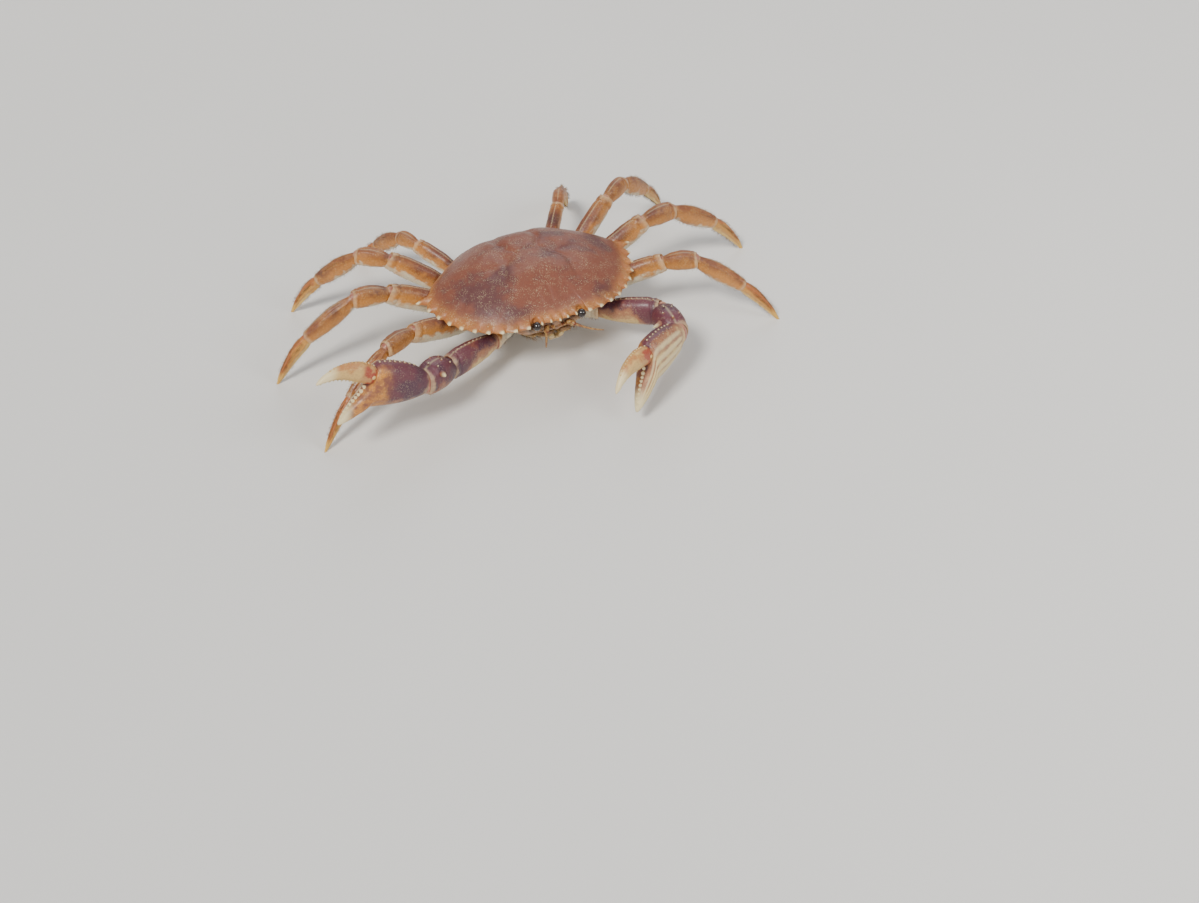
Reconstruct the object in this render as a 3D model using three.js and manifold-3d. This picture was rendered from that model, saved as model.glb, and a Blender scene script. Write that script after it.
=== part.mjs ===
// A Dungeness crab (Metacarcinus magister), a mature female, life size. It stands at rest on the tips of
// its eight walking legs, with the right claw held out to the side, the left claw folded across the
// front, and both claws open. Millimetres, +Z up. The crab faces -Y, so its right side is at -X.
import * as THREE from "three";
import { mergeVertices } from "three/addons/utils/BufferGeometryUtils.js";
import Module from "manifold-3d";

const wasm = await Module();
wasm.setup();

// Driving dimensions
const CARAPACE_WIDTH = 165; // across the points of the last pair of side teeth
const CARAPACE_LENGTH = 0.66 * CARAPACE_WIDTH;
const DOME_HEIGHT = 0.148 * CARAPACE_WIDTH; // of the back above the side teeth
const MARGIN_HEIGHT = 0.31 * CARAPACE_WIDTH; // of the side teeth above the floor
const HIP_DROP = 0.13 * CARAPACE_WIDTH; // of the leg sockets below the side teeth
const LEG_LENGTH = 1.04 * CARAPACE_WIDTH; // merus to tip of the longest leg
const CLAW_LENGTH = 0.445 * CARAPACE_WIDTH; // palm and fixed finger
const GAP = 0.3; // between pieces that touch
const FOOT_SINK = 0.9; // how much of each leg tip the floor flat takes off

const SHELL = {
  back: new THREE.MeshStandardMaterial({ color: 0x8a5a46, roughness: 0.42 }),
  underside: new THREE.MeshStandardMaterial({ color: 0xb0a08e, roughness: 0.55 }),
  apron: new THREE.MeshStandardMaterial({ color: 0xd8cba6, roughness: 0.5 }),
  mouth: new THREE.MeshStandardMaterial({ color: 0xc9ae74, roughness: 0.5 }),
  leg: new THREE.MeshStandardMaterial({ color: 0xc08a55, roughness: 0.45 }),
  tip: new THREE.MeshStandardMaterial({ color: 0xb5722c, roughness: 0.4 }),
  claw: new THREE.MeshStandardMaterial({ color: 0x8c4a3c, roughness: 0.4 }),
  finger: new THREE.MeshStandardMaterial({ color: 0xe2cfa4, roughness: 0.45 }),
  eye: new THREE.MeshStandardMaterial({ color: 0x17110f, roughness: 0.12 }),
  feeler: new THREE.MeshStandardMaterial({ color: 0x9c6a44, roughness: 0.6 }),
};

// Solids

const crab = new THREE.Group();

function solidOf(geometry) {
  geometry.deleteAttribute("normal");
  geometry.deleteAttribute("uv");
  const merged = mergeVertices(geometry, 1e-3);
  return new wasm.Manifold(
    new wasm.Mesh({
      numProp: 3,
      vertProperties: merged.attributes.position.array,
      triVerts: new Uint32Array(merged.index.array),
    }),
  );
}

// The largest closed surface of a solid, which drops loose scraps and fills sealed hollows.
function largestOf(solid) {
  return solid.decompose().reduce((best, piece) => (piece.volume() > best.volume() ? piece : best));
}

function geometryOf(solid) {
  const mesh = solid.getMesh();
  const geometry = new THREE.BufferGeometry();
  geometry.setAttribute("position", new THREE.BufferAttribute(mesh.vertProperties, 3));
  geometry.setIndex(new THREE.BufferAttribute(mesh.triVerts, 1));
  geometry.computeVertexNormals();
  return geometry;
}

function moved(solid, matrix) {
  return solid.transform(matrix.elements);
}

const solids = new Map();

// Puts a named solid, given in its parent's frame, under that parent.
function addPiece(name, solid, material, parent) {
  const mesh = new THREE.Mesh(geometryOf(largestOf(solid)), material);
  mesh.name = name;
  parent.add(mesh);
  solids.set(name, solid);
  return mesh;
}

// Shapes

// A closed bar along +X through stations [x, half height, half thickness, lift], reshaped from a
// cylinder. Fullness 2 gives oval sections, and more gives squarer ones. Grow makes it fatter all over.
function bar(stations, { sides = 8, fullness = 2.3, grow = 0 } = {}) {
  const last = stations.length - 1;
  const geometry = new THREE.CylinderGeometry(1, 1, 1, sides, last).rotateZ(Math.PI / 2);
  const position = geometry.attributes.position;
  for (let i = 0; i < position.count; i++) {
    const ring = Math.round((position.getX(i) + 0.5) * last);
    const [x, halfHeight, halfThickness, lift] = stations[ring];
    const [y, z] = [position.getY(i), position.getZ(i)];
    const onRim = Math.hypot(y, z) > 0.5;
    const reach = onRim ? (Math.abs(y) ** fullness + Math.abs(z) ** fullness) ** (-1 / fullness) : 0;
    const end = ring === 0 ? -grow : ring === last ? grow : 0;
    position.setXYZ(
      i,
      x + end,
      y * reach * (halfThickness + grow),
      z * reach * (halfHeight + grow) + lift,
    );
  }
  return geometry;
}

// Stations of a form, given as shares of length, half height, half thickness and half height again.
function scaled(form, length, height, thickness) {
  return form.map(([x, h, t, lift]) => [
    x * length,
    (h * height) / 2,
    (t * thickness) / 2,
    (lift * height) / 2,
  ]);
}

// A tapering spine from the origin along +Z, flattened along Y.
function spine(radius, height, flatness = 1, sides = 5) {
  return solidOf(
    new THREE.ConeGeometry(radius, 1.35 * height, sides).rotateX(Math.PI / 2)
      .translate(0, 0, 0.325 * height).scale(1, flatness, 1),
  );
}

// The matrix that sets a spine at a point, its tip along a direction, its flat side facing a normal.
function standing(point, direction, normal) {
  const z = direction.clone().normalize();
  const x = new THREE.Vector3().crossVectors(normal, z).normalize();
  const y = new THREE.Vector3().crossVectors(z, x);
  return new THREE.Matrix4().makeBasis(x, y, z).setPosition(point);
}

const vec = (x, y, z) => new THREE.Vector3(x, y, z);
const radians = THREE.MathUtils.degToRad;

// Forms of the limb segments, each as shares of its length, height and thickness

const HIP = [
  [-0.26, 0.5, 0.55, 0], [-0.08, 0.94, 0.98, 0], [0.26, 0.98, 1, 0.02], [0.42, 0.8, 0.8, 0.02],
  [0.56, 0.9, 0.86, 0.02], [1.03, 0.92, 0.84, 0.04],
];
const MERUS = [
  [-0.1, 0.3, 0.35, 0], [-0.045, 0.52, 0.6, 0], [0.04, 0.63, 0.7, 0], [0.2, 0.82, 0.86, 0.05],
  [0.45, 0.98, 1, 0.08], [0.72, 0.99, 0.99, 0.06], [0.94, 0.9, 0.92, 0.02], [1.03, 0.82, 0.84, 0],
];
const CARPUS = [
  [-0.16, 0.35, 0.4, 0], [-0.07, 0.58, 0.64, 0], [0.07, 0.68, 0.7, 0], [0.28, 0.86, 0.88, 0.06],
  [0.6, 1, 1, 0.1], [0.92, 0.94, 0.96, 0.04], [1.05, 0.82, 0.84, 0],
];
const PROPODUS = [
  [-0.1, 0.35, 0.4, 0], [-0.045, 0.56, 0.62, 0], [0.06, 0.66, 0.72, 0], [0.22, 0.87, 0.9, 0.04],
  [0.46, 1, 1, 0.04], [0.74, 0.91, 0.94, 0], [1.03, 0.68, 0.76, -0.02],
];
const DACTYL = [
  [-0.09, 0.4, 0.5, 0], [-0.035, 0.68, 0.76, 0], [0.06, 0.94, 1, 0.04], [0.22, 1, 0.94, 0.22],
  [0.45, 0.82, 0.76, 0.34], [0.68, 0.6, 0.56, 0.28], [0.86, 0.4, 0.4, 0.12], [1, 0.17, 0.2, -0.1],
];
const PADDLE = [
  [-0.09, 0.3, 0.5, 0], [-0.035, 0.52, 0.76, 0], [0.06, 0.74, 1, 0.04], [0.26, 0.98, 0.94, 0.12],
  [0.5, 0.94, 0.76, 0.16], [0.72, 0.68, 0.58, 0.14], [0.88, 0.42, 0.4, 0.06], [1, 0.16, 0.2, -0.06],
];
const CLAW_MERUS = [
  [-0.12, 0.3, 0.34, 0], [-0.05, 0.5, 0.56, 0], [0.04, 0.6, 0.64, 0], [0.2, 0.76, 0.8, 0],
  [0.5, 0.94, 0.95, 0.04], [0.8, 1, 1, 0.04], [0.95, 0.96, 0.96, 0], [1.03, 0.86, 0.86, 0],
];
const CLAW_CARPUS = [
  [-0.16, 0.34, 0.4, 0], [-0.06, 0.56, 0.62, 0], [0.06, 0.66, 0.74, 0.02], [0.24, 0.86, 0.92, 0.06],
  [0.52, 1, 1, 0.1], [0.8, 0.98, 0.98, 0.06], [0.96, 0.88, 0.88, 0], [1.06, 0.74, 0.78, 0],
];
// The palm ends in the fixed finger, which bends down from it.
const PALM = [
  [-0.06, 0.3, 0.48, 0], [-0.02, 0.47, 0.66, 0], [0.05, 0.61, 0.8, 0.02], [0.18, 0.82, 0.94, 0.05],
  [0.36, 0.96, 1, 0.08], [0.5, 1, 0.96, 0.08], [0.57, 0.92, 0.88, -0.02], [0.61, 0.64, 0.78, -0.42],
  [0.66, 0.5, 0.66, -0.74], [0.72, 0.42, 0.54, -1.02], [0.78, 0.31, 0.4, -1.31], [0.82, 0.2, 0.26, -1.53],
  [0.845, 0.08, 0.12, -1.68],
];
const FINGER = [
  [-0.12, 0.4, 0.5, 0], [-0.04, 0.76, 0.86, 0], [0.07, 0.98, 1, 0.04], [0.25, 1, 0.94, 0.24],
  [0.46, 0.86, 0.8, 0.3], [0.66, 0.68, 0.64, 0.12], [0.84, 0.48, 0.44, -0.34], [0.95, 0.28, 0.28, -0.8],
  [1, 0.12, 0.12, -1.05],
];

// Body

const FRONT_Y = -0.575 * CARAPACE_LENGTH; // the widest place is at Y 0
const REAR_Y = CARAPACE_LENGTH + FRONT_Y;
const MARGIN_HALF = 0.475 * CARAPACE_WIDTH; // half width at the roots of the last side teeth
const FRONT_HALF = 0.135 * CARAPACE_WIDTH; // half width across the outer corners of the orbits
const REAR_HALF = 0.215 * CARAPACE_WIDTH;
const SIDE_TEETH = 10;

// The edge of the back seen from above, from the middle of the front round the left side to the rear.
function halfEdge() {
  const edge = new THREE.Path();
  edge.moveTo(0, FRONT_Y);
  edge.lineTo(0.75 * FRONT_HALF, FRONT_Y + 2);
  edge.lineTo(FRONT_HALF, FRONT_Y + 2.6);
  edge.absellipse(FRONT_HALF, 2, MARGIN_HALF - FRONT_HALF, 1.4 - FRONT_Y, -Math.PI / 2, 0, false);
  edge.bezierCurveTo(MARGIN_HALF - 6, 13, REAR_HALF + 17, REAR_Y - 16, REAR_HALF, REAR_Y - 3);
  edge.quadraticCurveTo(REAR_HALF - 8, REAR_Y, 0, REAR_Y);
  return edge;
}

// Height of the edge of the back over the plane of the last side teeth, which falls towards the rear.
const edgeHeight = (y) => (y < 0 ? 4.5 * (y / FRONT_Y) ** 2 : -5 * (y / REAR_Y) ** 2);

// Soft swellings of the back: [x, y, spread in x, spread in y, height], on both sides where x isn't 0.
const LOBES = [
  [0, -22, 13, 15, 1.6], [17, -30, 12, 12, 1.2], [0, 17, 11, 12, 1.5], [34, 4, 18, 16, 1.6],
  [44, -20, 13, 12, 1], [19, -4, 5, 9, -1.5], [14, 18, 4, 14, -1.4], [29, -16, 5, 13, -0.9],
];

function lobesAt(x, y) {
  return LOBES.reduce((sum, [lx, ly, spreadX, spreadY, height]) => {
    const near = (side) => Math.exp(-(((x - side * lx) / spreadX) ** 2) - ((y - ly) / spreadY) ** 2);
    return sum + height * (lx ? near(1) + near(-1) : near(1));
  }, 0);
}

const BELLY_DROP = 0.135 * CARAPACE_WIDTH; // of the inner flank below the edge of the back

// The back as a closed lens, reshaped from a sphere: share is 0 at the middle and 1 at the edge.
function backLens(around = 52, upDown = 14) {
  const halfCount = around / 2;
  const half = halfEdge().getSpacedPoints(halfCount);
  const edge = Array.from({ length: around }, (_, i) =>
    i <= halfCount ? half[i] : half[around - i].clone().setX(-half[around - i].x),
  );
  const geometry = new THREE.SphereGeometry(1, around, upDown);
  const position = geometry.attributes.position;
  for (let i = 0; i < position.count; i++) {
    const angle = (Math.PI * Math.floor(i / (around + 1))) / upDown;
    const point = edge[i % (around + 1) % around];
    const share = Math.sin(angle);
    const [x, y] = [share * point.x, share * (point.y + 4) - 4];
    const above = DOME_HEIGHT * (1 - share ** 2.5) ** 0.86 + lobesAt(x, y) * (1 - share ** 6);
    const below = -1.2 - BELLY_DROP * (1 - share ** 1.6) ** 2;
    position.setXYZ(i, x, y, edgeHeight(y) * share + (angle < Math.PI / 2 ? above : below));
  }
  return solidOf(geometry);
}

// Saw teeth along the side edges, growing towards the widest place, and small ones along the front.
function edgeTeeth() {
  const teeth = [];
  const sweep = Math.PI / 2;
  for (const side of [-1, 1]) {
    for (let i = 0; i < SIDE_TEETH; i++) {
      const share = i / (SIDE_TEETH - 1);
      const angle = sweep * (0.03 + 0.955 * share);
      const x = FRONT_HALF + (MARGIN_HALF - FRONT_HALF - 1) * Math.sin(angle);
      const y = 2 + (FRONT_Y - 0.6) * Math.cos(angle);
      const size = i === SIDE_TEETH - 1 ? 1.9 : 0.92 + 0.2 * share;
      const aim = angle - 0.55 + 0.5 * share ** 3;
      const direction = vec(side * Math.sin(aim), -Math.cos(aim), 0.1);
      teeth.push(moved(
        spine(4.6 * (i === SIDE_TEETH - 1 ? 1.1 : 1), 4.4 * size, 0.42, 6),
        standing(vec(side * x, y, edgeHeight(y) + 0.2), direction, vec(0, 0, 1)),
      ));
    }
    for (const [x, out, size] of [[6.5, 0.6, 0.8], [13.5, 1.2, 1]]) {
      teeth.push(moved(
        spine(2.6, 4 * size, 0.5),
        standing(vec(side * x, FRONT_Y + out, edgeHeight(FRONT_Y)), vec(side * 0.15, -1, 0), vec(0, 0, 1)),
      ));
    }
  }
  teeth.push(moved(
    spine(2.6, 4.2, 0.5),
    standing(vec(0, FRONT_Y + 0.4, edgeHeight(FRONT_Y)), vec(0, -1, 0), vec(0, 0, 1)),
  ));
  return teeth;
}

// The underside, front to rear: mouth frame, breast plate and leg sockets, as stations along -Y.
const THORAX = [
  [-0.53, 3, 19, -3.5], [-0.47, 6.4, 24, -7.5], [-0.38, 8.6, 27, -12.5], [-0.29, 10, 27, -17],
  [-0.2, 10.8, 27.5, -19.6], [-0.08, 11, 30, -20.8], [0.04, 11, 31, -21], [0.16, 10.6, 29, -21],
  [0.27, 9.6, 24, -20], [0.35, 8, 17.5, -18], [0.39, 5, 10, -16],
];

function thoraxBlock(grow = 0) {
  const stations = THORAX.map(([share, h, w, lift]) => [share * CARAPACE_LENGTH, h, w, lift]);
  return solidOf(bar(stations, { sides: 16, fullness: 2.7, grow }).rotateZ(Math.PI / 2));
}

// The apron: a broad tail folded under the body, from the rear of the back forward under the breast.
const APRON_PATH = new THREE.CatmullRomCurve3(
  [
    vec(0, 36, -9), vec(0, 43.5, -10.5), vec(0, 46.5, -17), vec(0, 44, -25), vec(0, 36, -30.5),
    vec(0, 22, -33.2), vec(0, 5, -34), vec(0, -14, -33.2),
  ],
);
const APRON_WIDTHS = [15, 17.5, 20, 22, 23.5, 24.6, 25.3, 25.6, 25.5, 25, 24, 22.4, 19.8, 15.6, 8.5];

function apronPlate(grow = 0) {
  const last = APRON_WIDTHS.length - 1;
  const geometry = bar(
    APRON_WIDTHS.map((width, i) => [i / last, 1.5, width, 0]),
    { sides: 16, fullness: 2.4, grow: 0 },
  );
  const position = geometry.attributes.position;
  for (let i = 0; i < position.count; i++) {
    const share = THREE.MathUtils.clamp(position.getX(i), 0, 1);
    const point = APRON_PATH.getPointAt(share);
    const along = APRON_PATH.getTangentAt(share);
    const outward = vec(0, along.z, -along.y);
    const station = Math.round(share * last);
    const ridge = station % 2 ? 0.35 : 0; // each tail ring stands a little over the next
    const across = position.getY(i) / APRON_WIDTHS[station];
    const wide = across * (APRON_WIDTHS[station] + grow);
    const away = Math.abs(position.getZ(i));
    const lift = Math.sign(position.getZ(i)) * (away + grow + ridge * (1 - Math.abs(across)));
    const end = station === 0 ? -grow : station === last ? grow : 0;
    const flat = away < 1e-6 ? 0 : lift;
    const placed = point.addScaledVector(along, end).addScaledVector(outward, flat);
    // The plate is dished, so that its sides curl up against the breast.
    position.setXYZ(i, wide, placed.y, placed.z + 0.0035 * wide * wide * (1 - Math.abs(share - 0.5)));
  }
  return solidOf(geometry);
}

// An outer mouth plate with its slim outer branch and the folded palp at its tip.
function mouthPlate(side, grow = 0) {
  const endopod = [
    [-1, 1.8, 4.4, 0], [3, 2.5, 6, 0], [21, 2.8, 5.9, 0.3], [23, 2.2, 5.4, 0], [25, 2.7, 5.8, 0.4],
    [34, 2.5, 5.6, 0.2], [38, 1.5, 3.8, -0.4],
  ];
  const exopod = [[0, 1.8, 1.8, 0], [7, 2.2, 2.5, 0], [24, 1.9, 2.1, 0], [33, 1.1, 1.1, 0]];
  const palp = [[0, 1.3, 1.5, 0], [4, 2, 2.2, 0], [10, 1.7, 1.8, 0], [15, 0.9, 1, 0]];
  const branch = bar(exopod, { sides: 8, grow }).rotateZ(side * 0.03).translate(0, side * 8, 0.4);
  const folded = bar(palp, { sides: 8, grow }).rotateY(2.8).rotateZ(side * 0.2);
  const plate = solidOf(bar(endopod, { fullness: 2.8, grow }))
    .add(solidOf(branch))
    .add(solidOf(folded.translate(37, -side * 2.6, -2)));
  const slope = new THREE.Euler(0, radians(-32), -Math.PI / 2, "ZYX");
  const lie = new THREE.Matrix4().makeRotationFromEuler(slope);
  return moved(plate, lie.setPosition(side * 6.8, -25.5, -31));
}

function eyeOnStalk(grow = 0) {
  const stalk = [
    [-6, 1.6, 1.6, 0], [-3, 2, 2, 0], [0, 2.2, 2.2, 0], [2, 3, 3, 0], [4.4, 3.3, 3.3, 0],
    [6.6, 2.4, 2.4, 0], [7.8, 0.9, 0.9, 0],
  ];
  return solidOf(bar(stalk, { sides: 12, grow }));
}

function feelerOf(grow = 0) {
  const flagellum = [
    [-3, 1.2, 1.2, 0], [0, 2, 2.1, 0], [5, 1.9, 2, 0], [7, 1.1, 1.1, 0.2], [14, 0.8, 0.8, 0.8],
    [22, 0.65, 0.65, 2.2], [30, 0.5, 0.5, 4.4], [35, 0.3, 0.3, 6.2],
  ];
  return solidOf(bar(flagellum, { sides: 7, grow }));
}

// Limbs

// The turn that points +X along a heading. Azimuth is forward of straight sideways, elevation is up.
function heading(side, azimuth, elevation, roll = 0) {
  const [a, e] = [radians(azimuth), radians(elevation)];
  const along = vec(side * Math.cos(a) * Math.cos(e), -Math.sin(a) * Math.cos(e), Math.sin(e));
  const across = vec(0, 0, 1).cross(along).normalize();
  const up = vec(0, 0, 0).crossVectors(along, across);
  const basis = new THREE.Matrix4().makeBasis(along, across, up);
  const rolled = new THREE.Quaternion().setFromAxisAngle(vec(1, 0, 0), radians(side * roll));
  return new THREE.Quaternion().setFromRotationMatrix(basis).multiply(rolled);
}

function segmentSolid(part, grow = 0) {
  const stations = scaled(part.form, part.length, part.height, part.thickness);
  const solid = solidOf(bar(stations, { sides: part.sides, fullness: part.fullness, grow }));
  return (part.extras ?? []).reduce((sum, extra) => sum.add(extra(grow)), solid);
}

// Builds a chain of segments from a socket on the body. Each ends in a socket cut by the next one.
function buildLimb(parent, socket, parts) {
  let turnBefore = new THREE.Quaternion();
  let group = new THREE.Group();
  group.position.copy(socket);
  parent.add(group);
  const placed = parts.map((part) => {
    const turn = turnBefore.clone().invert().multiply(part.turn);
    if (part.origin) {
      const joint = new THREE.Group();
      joint.position.copy(part.origin);
      group.add(joint);
      group = joint;
    }
    group.quaternion.copy(turn);
    const own = group;
    turnBefore = part.turn;
    return { part, group: own };
  });
  const floor = crab.userData.floor;
  placed.forEach(({ part, group: own }, i) => {
    let solid = segmentSolid(part);
    const next = placed[i + 1];
    if (next) {
      next.group.updateMatrix();
      solid = solid.subtract(moved(segmentSolid(next.part, GAP), next.group.matrix));
    } else if (part.foot) {
      crab.updateMatrixWorld(true);
      const toOwn = own.matrixWorld.clone().invert();
      solid = solid.subtract(moved(floor, toOwn));
    }
    addPiece(part.name, solid, part.material, own);
  });
  crab.updateMatrixWorld(true);
  return placed;
}

const HIP_LENGTH = 0.135 * CARAPACE_WIDTH;
const LEG_SHARES = { merus: 0.32, carpus: 0.152, propodus: 0.258, dactyl: 0.27 };

// Walking legs, front to rear: socket, heading, size against the longest, and how each joint bends down.
const LEGS = [
  { at: [30.5, -10], azimuth: [12, 19, 24, 27, 29], size: 0.95, bend: [18, 52, 68], hip: 6 },
  { at: [31, 4], azimuth: [-5, -8, -8, -5, -3], size: 1, bend: [24, 62, 79], hip: 8 },
  { at: [28.5, 17], azimuth: [-24, -31, -35, -34, -32], size: 0.93, bend: [26, 66, 82], hip: 9 },
  { at: [23, 28.5], azimuth: [-44, -57, -64, -62, -60], size: 0.7, bend: [22, 56, 72], hip: 9 },
];

// The rise of the merus that brings the tip of the leg just into the floor, found by halving.
function meetFloor(start, lengths, bend) {
  let [low, high] = [-20, 80];
  const tipHeight = (rise) =>
    [rise, ...bend.map((fall) => rise - fall)].reduce(
      (z, angle, i) => z + lengths[i] * Math.sin(radians(angle)),
      start,
    );
  for (let i = 0; i < 40; i++) {
    const middle = (low + high) / 2;
    if (tipHeight(middle) > -FOOT_SINK) high = middle;
    else low = middle;
  }
  return low;
}

// Small steady differences between the legs of a living crab.
let seed = 7;
function wander(most) {
  seed = (seed * 16807) % 2147483647;
  return most * ((2 * seed) / 2147483647 - 1);
}

function walkingLeg(body, side, number) {
  const { at, azimuth, size, bend, hip } = LEGS[number];
  const last = number === LEGS.length - 1;
  const swing = wander(3);
  const lengths = Object.values(LEG_SHARES).map((share) => share * LEG_LENGTH * size);
  const bends = bend.map((fall) => fall + wander(2.5));
  const socket = vec(side * at[0], at[1], -HIP_DROP);
  const hipLength = HIP_LENGTH * (last ? 0.86 : 1);
  const start = MARGIN_HEIGHT - HIP_DROP + hipLength * Math.sin(radians(hip));
  const rise = meetFloor(start, lengths, bends);
  const rises = [hip, rise, ...bends.map((fall) => rise - fall)];
  const label = `leg_${number + 1}_${side > 0 ? "left" : "right"}`;
  const girth = last ? 0.8 : size;
  const sections = [
    ["hip", HIP, hipLength, 14.6 * girth, 12.8 * girth, SHELL.leg],
    ["merus", MERUS, lengths[0], 18.6 * girth, 13.6 * girth, SHELL.leg],
    ["carpus", CARPUS, lengths[1], 16.2 * girth, 12.6 * girth, SHELL.leg],
    ["propodus", PROPODUS, lengths[2], (last ? 16.4 : 15.4) * girth, 10 * girth, SHELL.leg],
    ["dactyl", last ? PADDLE : DACTYL, lengths[3], (last ? 12.4 : 9.8) * girth, 7.4 * girth, SHELL.tip],
  ];
  return buildLimb(body, socket, sections.map(([joint, form, length, height, thickness, material], i) => ({
    name: `${label}_${joint}`,
    form,
    length,
    height,
    thickness,
    material,
    turn: heading(side, azimuth[i] + (i ? swing : swing / 3), rises[i]),
    origin: i ? vec(sections[i - 1][2], 0, 0) : null,
    foot: joint === "dactyl",
  })));
}

// Headings of the claw arms from the root outwards: [azimuth, rise, roll].
const CLAW_POSES = {
  right: [[40, 2, 0], [25, 8, 0], [30, 14, -4], [5, 20, -8], [5, 20, -8]],
  left: [[40, 2, 0], [38, 8, 0], [90, 3, 4], [147, 3, 10], [147, 3, 10]],
};
const CLAW_OPEN = { right: 4, left: 1 };

// Spines in a row along the upper edge of a claw piece, as extras for segmentSolid.
function crestSpines(count, from, to, edgeAt, radius, height) {
  return Array.from({ length: count }, (_, i) => {
    const x = from + ((to - from) * i) / (count - 1);
    return () => moved(
      spine(radius, height, 0.8),
      standing(vec(x, 0, edgeAt(x)), vec(0.35, 0, 1), vec(0, 1, 0)),
    );
  });
}

// Blunt teeth along a biting edge, all pointing one way.
function bitingTeeth(count, from, to, edgeAt, way) {
  return Array.from({ length: count }, (_, i) => {
    const x = from + ((to - from) * i) / (count - 1);
    const size = 1 - 0.45 * (i / (count - 1));
    return () => moved(
      spine(2.1 * size, 2.5 * size, 0.85),
      standing(vec(x, 0, edgeAt(x)), way, vec(0, 1, 0)),
    );
  });
}

// Height of the upper or lower edge of a form at x, read off its stations.
function edgeOf(form, length, height, upper) {
  const rows = scaled(form, length, height, 0);
  return (x) => {
    const i = Math.max(1, rows.findIndex((row) => row[0] >= x));
    const [a, b] = [rows[i - 1], rows[i]];
    const share = (x - a[0]) / (b[0] - a[0]);
    const half = THREE.MathUtils.lerp(a[1], b[1], share);
    return THREE.MathUtils.lerp(a[3], b[3], share) + (upper ? half : -half) * 0.95;
  };
}

const PALM_HEIGHT = 0.45 * CLAW_LENGTH;
const PALM_THICKNESS = 0.27 * CLAW_LENGTH;
const FINGER_LENGTH = 0.55 * CLAW_LENGTH;
const FINGER_HEIGHT = 0.2 * CLAW_LENGTH;

function clawArm(body, side) {
  const word = side > 0 ? "left" : "right";
  const turns = CLAW_POSES[word].map(([azimuth, rise, roll]) => heading(side, azimuth, rise, roll));
  const open = new THREE.Quaternion().setFromAxisAngle(vec(0, 1, 0), -radians(CLAW_OPEN[word]));
  const palmTop = edgeOf(PALM, CLAW_LENGTH, PALM_HEIGHT, true);
  const fingerTop = edgeOf(FINGER, FINGER_LENGTH, FINGER_HEIGHT, true);
  const fingerBite = edgeOf(FINGER, FINGER_LENGTH, FINGER_HEIGHT, false);
  const carpusLength = 0.17 * CARAPACE_WIDTH;
  const inner = -side; // the side that faces the mouth, along Y of a segment
  const carpusSpine = () => moved(
    spine(3.2, 7.5),
    standing(vec(0.72 * carpusLength, inner * 9, 6.5), vec(0.5, inner, 0.25), vec(0, 0, 1)),
  );
  const rows = [
    {
      joint: "hip", form: HIP, length: 0.125 * CARAPACE_WIDTH, height: 17, thickness: 15, sides: 10,
      material: SHELL.leg,
    },
    {
      joint: "merus", form: CLAW_MERUS, length: 0.28 * CARAPACE_WIDTH, height: 22, thickness: 16,
      sides: 10, material: SHELL.claw,
    },
    {
      joint: "carpus", form: CLAW_CARPUS, length: carpusLength, height: 24, thickness: 21, sides: 12,
      material: SHELL.claw, extras: [carpusSpine],
    },
    {
      joint: "palm", form: PALM, length: CLAW_LENGTH, height: PALM_HEIGHT, thickness: PALM_THICKNESS,
      sides: 12, fullness: 2.4, material: SHELL.claw,
      extras: [
        ...crestSpines(6, 0.16 * CLAW_LENGTH, 0.56 * CLAW_LENGTH, palmTop, 1.7, 2.4),
        ...bitingTeeth(7, 0.64 * CLAW_LENGTH, 0.82 * CLAW_LENGTH, palmTop, vec(0.8, 0, 0.6)),
      ],
    },
    {
      joint: "finger", form: FINGER, length: FINGER_LENGTH, height: FINGER_HEIGHT,
      thickness: 0.165 * CLAW_LENGTH, sides: 10, material: SHELL.finger,
      extras: [
        ...crestSpines(8, 0.12 * FINGER_LENGTH, 0.84 * FINGER_LENGTH, fingerTop, 1.4, 1.9),
        ...bitingTeeth(7, 0.24 * FINGER_LENGTH, 0.9 * FINGER_LENGTH, fingerBite, vec(0.1, 0, -1)),
      ],
    },
  ];
  return buildLimb(body, vec(side * 26.5, -25.5, -HIP_DROP + 0.5), rows.map((row, i) => ({
    ...row,
    name: `claw_${word}_${row.joint}`,
    turn: row.joint === "finger" ? turns[i].clone().multiply(open) : turns[i],
    origin: row.joint === "finger"
      ? vec(0.585 * CLAW_LENGTH, 0, 0.27 * PALM_HEIGHT)
      : i ? vec(rows[i - 1].length, 0, 0) : null,
  })));
}

// Assembly

const floorSlab = solidOf(new THREE.BoxGeometry(900, 900, 40).translate(0, 0, -20));
crab.userData.floor = floorSlab;

const body = new THREE.Group();
body.position.z = MARGIN_HEIGHT;
crab.add(body);
crab.updateMatrixWorld(true);

const limbs = [];
for (const side of [-1, 1]) {
  limbs.push(clawArm(body, side));
  LEGS.forEach((_, number) => limbs.push(walkingLeg(body, side, number)));
}

// Everything that roots in the body, fattened by the gap, in the body's frame.
const toBody = body.matrixWorld.clone().invert();
const limbRoots = limbs.flatMap((limb) =>
  limb.slice(0, 2).map(({ part, group }) =>
    moved(segmentSolid(part, GAP), toBody.clone().multiply(group.matrixWorld)),
  ),
);

function onBothSides(make) {
  return [-1, 1].map((side) => make(side));
}

const eyeTurn = (side) => heading(side, 62, 16);
const eyePlace = (side) => new THREE.Matrix4().makeRotationFromQuaternion(eyeTurn(side))
  .setPosition(side * 15.5, FRONT_Y + 3.4, 2.6);
const feelerPlace = (side) => new THREE.Matrix4().makeRotationFromQuaternion(heading(side, 66, 8))
  .setPosition(side * 8.6, FRONT_Y + 3.2, -3.4);

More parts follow.
